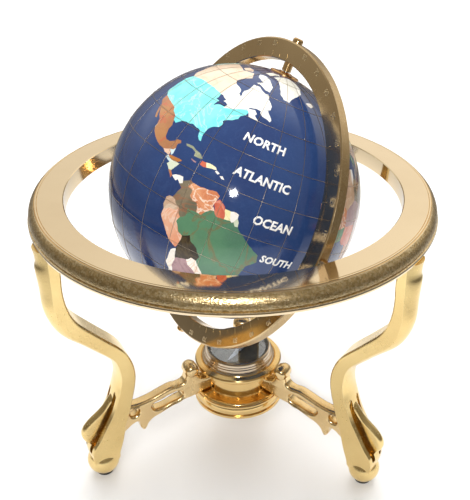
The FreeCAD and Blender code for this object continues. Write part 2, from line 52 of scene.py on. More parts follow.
WIRE_LIFT = 75.06 * MM
BAND_START = 117.2 * MM     # where the sanded band of the flat ring begins
RING_OUTER = 93.3 * MM      # the swinging ring
RING_INNER = 81.8 * MM
RING_HALF = 3.3 * MM
PIVOT_TURN = math.radians(33.0)
POLE_TILT = math.radians(25.9)
MAP_SPIN = 109.2            # degrees that the map is turned on its axle
MAP_SKEW = Vector((-0.0223, 0.0198, 0.0117))   # the inlaid map sits a little off the axle


def middle(node):
    low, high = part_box(node)
    return (Vector(low) + Vector(high)) / 2


BALL = middle("globe_core")
RING_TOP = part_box("horizon_ring")[1][2]

# The ball's own axes: its side, the swing pivots and the pole.
PIVOT = Vector((math.sin(PIVOT_TURN), -math.cos(PIVOT_TURN), 0))
POLE = Vector((math.sin(POLE_TILT) * math.cos(PIVOT_TURN), math.sin(POLE_TILT) * math.sin(PIVOT_TURN),
               math.cos(POLE_TILT)))
SIDE = PIVOT.cross(POLE)
AXES = Matrix((SIDE, PIVOT, POLE)).transposed()
MAP_AXES = AXES @ Matrix.Rotation(MAP_SKEW.length, 3, MAP_SKEW)


def map_point(lon, lat, radius=BALL_RADIUS):
    """A place on the ball from its longitude and latitude in degrees."""
    turn = math.radians(lon + MAP_SPIN)
    rise = math.radians(lat)
    local = Vector((math.cos(rise) * math.cos(turn), math.cos(rise) * math.sin(turn), math.sin(rise)))
    return BALL + MAP_AXES @ local * radius


# ------------------------------------------------------------------ node tools
def node(tree, kind, inputs=None, **settings):
    made = tree.nodes.new(kind)
    for key, value in settings.items():
        setattr(made, key, value)
    for key, value in (inputs or {}).items():
        if isinstance(value, bpy.types.NodeSocket):
            tree.links.new(value, made.inputs[key])
        else:
            made.inputs[key].default_value = value
    return made


def colour(rgb):
    return (rgb[0], rgb[1], rgb[2], 1.0)


def group(name, inputs, outputs):
    """A shader node group with named sockets; returns the tree, its input node and its output node."""
    tree = bpy.data.node_groups.new(name, "ShaderNodeTree")
    for label, value in inputs:
        kind = "NodeSocketColor" if isinstance(value, tuple) else "NodeSocketFloat"
        socket = tree.interface.new_socket(name=label, in_out="INPUT", socket_type=kind)
        socket.default_value = colour(value) if isinstance(value, tuple) else value
    for label, kind in outputs:
        tree.interface.new_socket(name=label, in_out="OUTPUT", socket_type=kind)
    return tree, tree.nodes.new("NodeGroupInput"), tree.nodes.new("NodeGroupOutput")


def place(tree, made, **values):
    """Puts a group in a material with its own values; underscores in a name stand for spaces."""
    used = tree.nodes.new("ShaderNodeGroup")
    used.node_tree = made
    for key, value in values.items():
        socket = used.inputs[key.replace("_", " ")]
        if isinstance(value, bpy.types.NodeSocket):
            tree.links.new(value, socket)
        else:
            socket.default_value = colour(value) if isinstance(value, tuple) else value
    return used


def ramp(tree, fac, stops, kind="EASE"):
    made = node(tree, "ShaderNodeValToRGB", {"Fac": fac})
    made.color_ramp.interpolation = kind
    while len(made.color_ramp.elements) < len(stops):
        made.color_ramp.elements.new(0.5)
    for element, (position, value) in zip(made.color_ramp.elements, stops):
        element.position = position
        element.color = colour(value) if isinstance(value, tuple) else (value, value, value, 1)
    return made.outputs["Color"]


def maths(tree, operation, a, b=0.0):
    made = tree.nodes.new("ShaderNodeMath")
    made.operation = operation
    for socket, value in zip(made.inputs, (a, b)):
        if isinstance(value, bpy.types.NodeSocket):
            tree.links.new(value, socket)
        else:
            socket.default_value = value
    return made.outputs[0]


def blend(tree, fac, a, b, kind="MIX"):
    made = tree.nodes.new("ShaderNodeMix")
    made.data_type = "RGBA"
    made.blend_type = kind
    for socket, value in ((made.inputs[0], fac), (made.inputs[6], a), (made.inputs[7], b)):
        if isinstance(value, bpy.types.NodeSocket):
            tree.links.new(value, socket)
        else:
            socket.default_value = colour(value) if isinstance(value, tuple) else value
    return made.outputs[2]


# ------------------------------------------------------------------ shared effects
def make_cloud():
    """Two tones drifting into each other, as in cast metal or stone."""
    tree, source, sink = group(
        "cloudy_tone",
        [("Tone A", (0.5, 0.5, 0.5)), ("Tone B", (0.4, 0.4, 0.4)), ("Scale", 40.0), ("Spread", 0.5)],
        [("Colour", "NodeSocketColor"), ("Mask", "NodeSocketFloat")])
    spot = node(tree, "ShaderNodeTexCoord")
    cloud = node(tree, "ShaderNodeTexNoise", {
        "Vector": spot.outputs["Object"], "Scale": source.outputs["Scale"], "Detail": 4.0, "Roughness": 0.6})
    half = maths(tree, "MULTIPLY", source.outputs["Spread"], 0.5)
    low = maths(tree, "SUBTRACT", 0.5, half)
    high = maths(tree, "ADD", 0.5, half)
    mask = node(tree, "ShaderNodeMapRange", {
        "Value": cloud.outputs[0], "From Min": low, "From Max": high}, interpolation_type="SMOOTHSTEP")
    mixed = blend(tree, mask.outputs[0], source.outputs["Tone A"], source.outputs["Tone B"])
    tree.links.new(mixed, sink.inputs["Colour"])
    tree.links.new(mask.outputs[0], sink.inputs["Mask"])
    return tree


def make_scratches():
    """Hair scratches running two ways, from polishing and handling."""
    tree, source, sink = group("hair_scratches", [("Scale", 60.0)],
                               [("Height", "NodeSocketFloat"), ("Mask", "NodeSocketFloat")])
    spot = node(tree, "ShaderNodeTexCoord")
    lines = []
    for turn, stretch in ((0.5, (1, 24, 6)), (2.1, (20, 1.2, 9))):
        run = node(tree, "ShaderNodeMapping", {
            "Vector": spot.outputs["Object"], "Rotation": (0.3, turn, turn * 1.7), "Scale": stretch})
        hair = node(tree, "ShaderNodeTexNoise", {
            "Vector": run.outputs[0], "Scale": source.outputs["Scale"], "Detail": 2.0})
        lines.append(hair.outputs[0])
    total = maths(tree, "MULTIPLY", lines[0], lines[1])
    thin = node(tree, "ShaderNodeMapRange", {"Value": total, "From Min": 0.3, "From Max": 0.42})
    tree.links.new(total, sink.inputs["Height"])
    tree.links.new(thin.outputs[0], sink.inputs["Mask"])
    return tree


def make_grain():
    """A sand-blasted or cast grain, with separate bright facets."""
    tree, source, sink = group("sand_grain", [("Scale", 900.0)],
                               [("Height", "NodeSocketFloat"), ("Sparkle", "NodeSocketFloat")])
    spot = node(tree, "ShaderNodeTexCoord")
    cells = node(tree, "ShaderNodeTexVoronoi", {
        "Vector": spot.outputs["Object"], "Scale": source.outputs["Scale"]})
    grit = node(tree, "ShaderNodeTexNoise", {
        "Vector": spot.outputs["Object"], "Scale": source.outputs["Scale"], "Detail": 3.0})
    height = maths(tree, "ADD", cells.outputs["Distance"], grit.outputs[0])
    split = node(tree, "ShaderNodeSeparateColor", {"Color": cells.outputs["Color"]})
    bright = node(tree, "ShaderNodeMapRange", {"Value": split.outputs[0], "From Min": 0.55, "From Max": 0.95})
    tree.links.new(height, sink.inputs["Height"])
    tree.links.new(bright.outputs[0], sink.inputs["Sparkle"])
    return tree


def make_smudge():
    """Uneven polish: a roughness that drifts between two values."""
    tree, source, sink = group("uneven_polish", [("Low", 0.1), ("High", 0.2), ("Scale", 30.0)],
                               [("Roughness", "NodeSocketFloat")])
    spot = node(tree, "ShaderNodeTexCoord")
    drift = node(tree, "ShaderNodeTexNoise", {
        "Vector": spot.outputs["Object"], "Scale": source.outputs["Scale"], "Detail": 5.0, "Distortion": 0.6})
    span = node(tree, "ShaderNodeMapRange", {
        "Value": drift.outputs[0], "From Min": 0.35, "From Max": 0.65, "To Min": source.outputs["Low"],
        "To Max": source.outputs["High"]})
    tree.links.new(span.outputs[0], sink.inputs["Roughness"])
    return tree


def make_edge():
    """Edges painted brighter, partly rubbed wear and partly a painted highlight: 1 on a sharp outer edge, 0
    on open faces.
    """
    tree, source, sink = group("edge_wear_and_highlight", [("Width", 0.0006), ("Scale", 200.0)],
                               [("Mask", "NodeSocketFloat")])
    spot = node(tree, "ShaderNodeTexCoord")
    soft = node(tree, "ShaderNodeBevel", {"Radius": source.outputs["Width"]}, samples=4)
    shape = node(tree, "ShaderNodeNewGeometry")
    dot = node(tree, "ShaderNodeVectorMath", {0: soft.outputs[0], 1: shape.outputs["Normal"]},
               operation="DOT_PRODUCT")
    sharp = node(tree, "ShaderNodeMapRange", {
        "Value": dot.outputs["Value"], "From Min": 0.995, "From Max": 0.86})
    broken = node(tree, "ShaderNodeTexNoise", {
        "Vector": spot.outputs["Object"], "Scale": source.outputs["Scale"], "Detail": 3.0})
    gaps = node(tree, "ShaderNodeMapRange", {"Value": broken.outputs[0], "From Min": 0.3, "From Max": 0.6})
    tree.links.new(maths(tree, "MULTIPLY", sharp.outputs[0], gaps.outputs[0]), sink.inputs["Mask"])
    return tree


def make_veins():
    """Fine veins that wander through polished stone."""
    tree, source, sink = group("stone_veins", [("Scale", 40.0), ("Width", 0.04)],
                               [("Mask", "NodeSocketFloat")])
    spot = node(tree, "ShaderNodeTexCoord")
    wander = node(tree, "ShaderNodeTexNoise", {
        "Vector": spot.outputs["Object"], "Scale": source.outputs["Scale"], "Detail": 4.0,
        "Roughness": 0.55, "Distortion": 1.4})
    ridge = maths(tree, "ABSOLUTE", maths(tree, "SUBTRACT", wander.outputs[0], 0.5))
    line = node(tree, "ShaderNodeMapRange", {
        "Value": ridge, "From Min": source.outputs["Width"], "From Max": 0.0},
        interpolation_type="SMOOTHSTEP")
    tree.links.new(line.outputs[0], sink.inputs["Mask"])
    return tree


CLOUD = make_cloud()
SCRATCHES = make_scratches()
GRAIN = make_grain()
SMUDGE = make_smudge()
EDGE = make_edge()
VEINS = make_veins()


# ------------------------------------------------------------------ materials
def new_material(name):
    made = bpy.data.materials.new(name)
    made.use_nodes = True
    tree = made.node_tree
    return made, tree, tree.nodes["Principled BSDF"]


def set_plain(shader, **values):
    for key, value in values.items():
        socket = shader.inputs[key.replace("_", " ")]
        socket.default_value = colour(value) if isinstance(value, tuple) else value


def link_bump(tree, shader, height, strength, distance):
    bump = node(tree, "ShaderNodeBump", {"Height": height, "Strength": strength, "Distance": distance})
    tree.links.new(bump.outputs[0], shader.inputs["Normal"])


def metal(name, tone, shade, low, high, cloud=30.0, edge_wear_highlight_tone=None, grain=0.0, grain_scale=900.0, scratch=0.12,
          edge=0.0005):
    """A worked metal: drifting tone, uneven polish, hair scratches, and edges painted brighter for rubbed
    wear and a painted edge highlight.
    """
    made, tree, shader = new_material(name)
    base = place(tree, CLOUD, Tone_A=tone, Tone_B=shade, Scale=cloud, Spread=0.5)
    hair = place(tree, SCRATCHES, Scale=70.0)
    edge_wear_highlight = place(tree, EDGE, Width=edge)
    polish = place(tree, SMUDGE, Low=low, High=high, Scale=45.0)
    grit = place(tree, GRAIN, Scale=grain_scale)
    lit = blend(tree, maths(tree, "MULTIPLY", hair.outputs["Mask"], 0.12), base.outputs["Colour"],
                tuple(min(1.0, v * 1.25) for v in tone))
    # painted highlight with wear: sharp edges are painted a paler tone
    lit = blend(tree, maths(tree, "MULTIPLY", edge_wear_highlight.outputs["Mask"], 0.7), lit,
                edge_wear_highlight_tone or tuple(min(1.0, v * 1.15 + 0.05) for v in tone))
    tree.links.new(lit, shader.inputs["Base Color"])
    rough = maths(tree, "ADD", polish.outputs["Roughness"],
                  maths(tree, "MULTIPLY", hair.outputs["Mask"], 0.06))
    tree.links.new(rough, shader.inputs["Roughness"])
    height = maths(tree, "ADD", maths(tree, "MULTIPLY", hair.outputs["Height"], scratch),
                   maths(tree, "MULTIPLY", grit.outputs["Height"], grain))
    link_bump(tree, shader, height, 0.4, 0.0001)
    set_plain(shader, Metallic=1.0)
    return made


def stone(name, tone, shade, vein, scale=60.0, vein_scale=45.0, width=0.03, strength=0.6, rough=0.12,
          third=None, third_scale=90.0):
    """Polished stone: cloudy body, wandering veins, small pits and a hard gloss."""
    made, tree, shader = new_material(name)
    body = place(tree, CLOUD, Tone_A=tone, Tone_B=shade, Scale=scale, Spread=0.35)
    shown = body.outputs["Colour"]
    if third:
        spots = place(tree, CLOUD, Scale=third_scale, Spread=0.12)
        shown = blend(tree, spots.outputs["Mask"], shown, third)
    line = place(tree, VEINS, Scale=vein_scale, Width=width)
    shown = blend(tree, maths(tree, "MULTIPLY", line.outputs["Mask"], strength), shown, vein)
    speck = place(tree, GRAIN, Scale=1400.0)
    shown = blend(tree, maths(tree, "MULTIPLY", speck.outputs["Sparkle"], 0.10), shown,
                  tuple(min(1.0, v * 1.5 + 0.04) for v in tone))
    polish = place(tree, SMUDGE, Low=rough * 0.7, High=rough * 1.5, Scale=50.0)
    tree.links.new(shown, shader.inputs["Base Color"])
    tree.links.new(polish.outputs["Roughness"], shader.inputs["Roughness"])
    link_bump(tree, shader, maths(tree, "ADD", line.outputs["Mask"], speck.outputs["Height"]), 0.06, 0.0001)
    set_plain(shader, Coat_Weight=0.35, Coat_Roughness=0.04, IOR=1.5)
    return made


def horizon_gold():
    """The flat ring: a mirror-polished top, a sand-cast band round its rim and a bright lip."""
    made, tree, shader = new_material("polished_ring_gold")
    spot = node(tree, "ShaderNodeTexCoord")
    xyz = node(tree, "ShaderNodeSeparateXYZ", {0: spot.outputs["Object"]})
    flat = node(tree, "ShaderNodeCombineXYZ", {0: xyz.outputs[0], 1: xyz.outputs[1]})
    reach = node(tree, "ShaderNodeVectorMath", {0: flat.outputs[0]}, operation="LENGTH").outputs["Value"]
    outside = node(tree, "ShaderNodeMapRange", {
        "Value": reach, "From Min": BAND_START, "From Max": BAND_START + 0.4 * MM}).outputs[0]
    below = node(tree, "ShaderNodeMapRange", {
        "Value": xyz.outputs[2], "From Min": RING_TOP - 0.4 * MM, "From Max": RING_TOP - 0.9 * MM}).outputs[0]
    above = node(tree, "ShaderNodeMapRange", {
        "Value": xyz.outputs[2], "From Min": RING_TOP - 9.1 * MM, "From Max": RING_TOP - 8.6 * MM}).outputs[0]
    band = maths(tree, "MULTIPLY", maths(tree, "MULTIPLY", outside, below), above)
    base = place(tree, CLOUD, Tone_A=(0.86, 0.70, 0.47), Tone_B=(0.80, 0.64, 0.42), Scale=14.0)
    sand = place(tree, CLOUD, Tone_A=(0.74, 0.55, 0.28), Tone_B=(0.50, 0.36, 0.17), Scale=520.0, Spread=0.3)
    grit = place(tree, GRAIN, Scale=1100.0)
    hair = place(tree, SCRATCHES, Scale=60.0)
    edge_wear_highlight = place(tree, EDGE, Width=0.0004)
    polish = place(tree, SMUDGE, Low=0.05, High=0.10, Scale=25.0)
    glint = blend(tree, maths(tree, "MULTIPLY", grit.outputs["Sparkle"], 0.6), sand.outputs["Colour"],
                  (0.95, 0.82, 0.55))
    shown = blend(tree, band, base.outputs["Colour"], glint)
    # painted highlight with wear: the ring's sharp edges are painted a pale gold
    shown = blend(tree, maths(tree, "MULTIPLY", edge_wear_highlight.outputs["Mask"], 0.6), shown, (0.96, 0.86, 0.66))
    tree.links.new(shown, shader.inputs["Base Color"])
    rough = maths(tree, "ADD", polish.outputs["Roughness"], maths(tree, "MULTIPLY", band, 0.22))
    tree.links.new(rough, shader.inputs["Roughness"])
    height = maths(tree, "ADD", maths(tree, "MULTIPLY", hair.outputs["Height"], 0.04),
                   maths(tree, "MULTIPLY", maths(tree, "MULTIPLY", grit.outputs["Height"], band), 1.6))
    link_bump(tree, shader, height, 0.5, 0.00012)
    set_plain(shader, Metallic=1.0)
    return made


def meridian_gold():
    """The swinging ring: polished sides with a grainy cast rim, whose grain specks are painted glints."""
    made, tree, shader = new_material("swinging_ring_gold")
    spot = node(tree, "ShaderNodeTexCoord")
    gap = node(tree, "ShaderNodeVectorMath", {0: spot.outputs["Object"], 1: tuple(BALL)},
               operation="DISTANCE")
    rim = node(tree, "ShaderNodeMapRange", {
        "Value": gap.outputs["Value"], "From Min": RING_OUTER - 0.6 * MM,
        "From Max": RING_OUTER - 0.2 * MM}).outputs[0]
    base = place(tree, CLOUD, Tone_A=(0.70, 0.52, 0.29), Tone_B=(0.60, 0.43, 0.23), Scale=18.0)
    grit = place(tree, GRAIN, Scale=1200.0)
    hair = place(tree, SCRATCHES, Scale=80.0)
    edge_wear_highlight = place(tree, EDGE, Width=0.0004)
    polish = place(tree, SMUDGE, Low=0.10, High=0.17, Scale=40.0)
    # painted glints: bright grain specks painted into the rim's colour
    rim_with_painted_glints = blend(tree, maths(tree, "MULTIPLY", grit.outputs["Sparkle"], 0.4), (0.62, 0.45, 0.24),
                   (0.80, 0.64, 0.40))
    shown = blend(tree, rim, base.outputs["Colour"], rim_with_painted_glints)
    # painted highlight with wear: the ring's sharp edges are painted nearly white
    shown = blend(tree, maths(tree, "MULTIPLY", edge_wear_highlight.outputs["Mask"], 0.75), shown, (0.97, 0.86, 0.66))
    tree.links.new(shown, shader.inputs["Base Color"])
    tree.links.new(maths(tree, "ADD", polish.outputs["Roughness"], maths(tree, "MULTIPLY", rim, 0.15)),
                   shader.inputs["Roughness"])
    height = maths(tree, "ADD", maths(tree, "MULTIPLY", hair.outputs["Height"], 0.08),
                   maths(tree, "MULTIPLY", maths(tree, "MULTIPLY", grit.outputs["Height"], rim), 0.9))
    link_bump(tree, shader, height, 0.4, 0.0001)
    set_plain(shader, Metallic=1.0)
    return made


def rubber():
    made, tree, shader = new_material("black_foot_rubber")
    base = place(tree, CLOUD, Tone_A=(0.018, 0.018, 0.02), Tone_B=(0.03, 0.029, 0.028), Scale=260.0)
    grit = place(tree, GRAIN, Scale=1500.0)
    dust = blend(tree, maths(tree, "MULTIPLY", grit.outputs["Sparkle"], 0.12), base.outputs["Colour"],
                 (0.12, 0.115, 0.11))
    polish = place(tree, SMUDGE, Low=0.62, High=0.85, Scale=80.0)
    tree.links.new(dust, shader.inputs["Base Color"])
    tree.links.new(polish.outputs["Roughness"], shader.inputs["Roughness"])
    link_bump(tree, shader, grit.outputs["Height"], 0.3, 0.0001)
    return made


def glass():
    made, tree, shader = new_material("clear_dial_glass")
    polish = place(tree, SMUDGE, Low=0.0, High=0.04, Scale=60.0)
    hair = place(tree, SCRATCHES, Scale=40.0)
    tree.links.new(polish.outputs["Roughness"], shader.inputs["Roughness"])
    link_bump(tree, shader, hair.outputs["Height"], 0.02, 0.00005)
    set_plain(shader, Base_Color=(0.93, 0.95, 0.95), IOR=1.5, Transmission_Weight=1.0)
    return made


def card():
    made, tree, shader = new_material("dark_card_painted_shade")
    # painted shade: the card's near-black grey stands in for the shade and dark reflection under the ball
    base = place(tree, CLOUD, Tone_A=(0.075, 0.078, 0.08), Tone_B=(0.12, 0.118, 0.11), Scale=320.0)
    fibre = place(tree, GRAIN, Scale=2200.0)
    shown = blend(tree, maths(tree, "MULTIPLY", fibre.outputs["Sparkle"], 0.25), base.outputs["Colour"],
                  (0.19, 0.185, 0.17))
    polish = place(tree, SMUDGE, Low=0.55, High=0.75, Scale=120.0)
    tree.links.new(shown, shader.inputs["Base Color"])
    tree.links.new(polish.outputs["Roughness"], shader.inputs["Roughness"])
    link_bump(tree, shader, fibre.outputs["Height"], 0.2, 0.00005)
    return made


HORIZON_GOLD = horizon_gold()
RING_GOLD = meridian_gold()
# the legs' pale edge tone is a painted highlight with wear
CAST_GOLD = metal("cast_leg_gold", (0.90, 0.69, 0.32), (0.78, 0.57, 0.25), 0.17, 0.27, cloud=22.0,
                  grain=0.25, grain_scale=500.0, edge_wear_highlight_tone=(0.98, 0.84, 0.50))
DRUM_GOLD = metal("turned_drum_gold", (0.84, 0.60, 0.27), (0.74, 0.51, 0.22), 0.10, 0.18, cloud=26.0)
BEZEL_GOLD = metal("turned_bezel_gold", (0.62, 0.50, 0.36), (0.52, 0.42, 0.31), 0.14, 0.24, cloud=40.0)
STRUT_GOLD = metal("cast_strut_gold", (0.88, 0.67, 0.36), (0.76, 0.55, 0.28), 0.17, 0.27, cloud=30.0,
                   grain=0.2, grain_scale=600.0)
BRASS = metal("turned_brass", (0.86, 0.60, 0.30), (0.72, 0.46, 0.20), 0.10, 0.20, cloud=90.0)
CAP_COPPER = metal("spun_polar_cap", (0.86, 0.52, 0.24), (0.72, 0.40, 0.17), 0.16, 0.26, cloud=120.0)
BRIGHT_STEEL = metal("plain_steel", (0.62, 0.62, 0.61), (0.50, 0.50, 0.50), 0.18, 0.30, cloud=120.0)
NEEDLE_STEEL = metal("blued_needle_steel", (0.10, 0.12, 0.17), (0.16, 0.17, 0.20), 0.20, 0.32, cloud=200.0)
RESIN = stone("cast_core_resin", (0.62, 0.58, 0.50), (0.55, 0.50, 0.42), (0.70, 0.66, 0.58), rough=0.5)
RUBBER = rubber()
GLASS = glass()
CARD = card()
OCEAN_STONE = stone("deep_blue_stone", (0.016, 0.036, 0.125), (0.020, 0.050, 0.155), (0.035, 0.075, 0.20),
                    scale=24.0, vein_scale=30.0, width=0.02, strength=0.25, rough=0.10)

FINISH = {
    "horizon_ring": HORIZON_GOLD, "meridian_ring": RING_GOLD, "bezel_ring": BEZEL_GOLD,
    "drum_base": DRUM_GOLD, "drum_head": DRUM_GOLD, "leg_right": CAST_GOLD, "leg_left": CAST_GOLD,
    "leg_back": CAST_GOLD,
    "leg_studs": BRIGHT_STEEL, "strut_screws": BRIGHT_STEEL, "tie_bolt": BRIGHT_STEEL,
    "tie_washer": BRIGHT_STEEL,
    "foot_pads": RUBBER, "compass_glass": GLASS, "compass_bowl": BRASS, "compass_card": CARD,
    "compass_post": BRASS, "compass_needle": NEEDLE_STEEL, "pivot_pins": BRASS, "pivot_collars": BRASS,
    "polar_pins": BRIGHT_STEEL, "polar_nuts": BRASS, "polar_spacers": BRASS, "globe_bushes": BRASS,
    "cap_north": CAP_COPPER, "cap_south": CAP_COPPER, "globe_core": RESIN,
}
for name, finish in FINISH.items():
    for slot in NODES[name].material_slots:
        slot.material = finish

# ------------------------------------------------------------------ stones of the map
# name: tone, drifted tone, vein colour, then the rest of stone()'s values.
STONE_KINDS = {
    "turquoise": ((0.12, 0.62, 0.66), (0.22, 0.70, 0.66), (0.62, 0.88, 0.84),
                dict(scale=70.0, width=0.02, strength=0.5)),
    "arctic": ((0.66, 0.50, 0.36), (0.72, 0.60, 0.46), (0.76, 0.42, 0.30), dict(scale=70.0, width=0.02)),
    "pearl": ((0.80, 0.80, 0.76), (0.72, 0.72, 0.64), (0.90, 0.90, 0.88), dict(scale=50.0, rough=0.16)),
    "jasper": ((0.34, 0.15, 0.07), (0.42, 0.20, 0.08), (0.50, 0.10, 0.06), dict(scale=70.0)),
    "peach": ((0.72, 0.50, 0.38), (0.66, 0.42, 0.30), (0.80, 0.66, 0.56), dict(scale=120.0)),
    "ice": ((0.45, 0.62, 0.68), (0.56, 0.68, 0.70), (0.75, 0.82, 0.82), dict(scale=120.0)),
    "sage": ((0.52, 0.58, 0.42), (0.62, 0.66, 0.54), (0.44, 0.44, 0.22), dict(scale=120.0)),
    "amber": ((0.50, 0.22, 0.06), (0.40, 0.15, 0.04), (0.66, 0.36, 0.14), dict(scale=120.0)),
    "white": ((0.82, 0.80, 0.76), (0.76, 0.70, 0.62), (0.70, 0.50, 0.34), dict(scale=140.0, width=0.015)),
    "olive": ((0.13, 0.12, 0.08), (0.22, 0.17, 0.11), (0.32, 0.12, 0.06), dict(scale=90.0, width=0.05)),
    "moss": ((0.24, 0.26, 0.18), (0.32, 0.34, 0.22), (0.42, 0.42, 0.28), dict(scale=120.0)),
    "brick": ((0.52, 0.10, 0.06), (0.60, 0.18, 0.10), (0.70, 0.36, 0.28), dict(scale=110.0)),
    "straw": ((0.80, 0.72, 0.36), (0.84, 0.80, 0.58), (0.62, 0.50, 0.20), dict(scale=110.0, width=0.015)),
    "breccia": ((0.66, 0.30, 0.15), (0.52, 0.16, 0.07), (0.86, 0.74, 0.62),
                dict(scale=130.0, vein_scale=150.0, width=0.05, strength=0.85)),
    "rust": ((0.68, 0.24, 0.12), (0.76, 0.42, 0.28), (0.84, 0.66, 0.54), dict(scale=70.0, width=0.03)),
    "tan": ((0.48, 0.30, 0.20), (0.58, 0.42, 0.30), (0.68, 0.56, 0.44), dict(scale=100.0)),
    "forest": ((0.07, 0.17, 0.11), (0.10, 0.24, 0.13), (0.20, 0.12, 0.05),
                dict(scale=30.0, vein_scale=16.0, width=0.02)),
    "coal": ((0.022, 0.018, 0.012), (0.05, 0.035, 0.02), (0.10, 0.07, 0.03), dict(scale=90.0)),
    "mauve": ((0.34, 0.20, 0.22), (0.42, 0.28, 0.28), (0.22, 0.12, 0.14), dict(scale=90.0)),
    "flame": ((0.80, 0.72, 0.64), (0.84, 0.78, 0.72), (0.80, 0.36, 0.16),
                dict(scale=120.0, vein_scale=80.0, width=0.04)),
}
STONES = {}
for kind, (tone, shade, vein, rest) in STONE_KINDS.items():
    STONES[kind] = stone(kind + "_stone", tone, shade, vein, **rest)

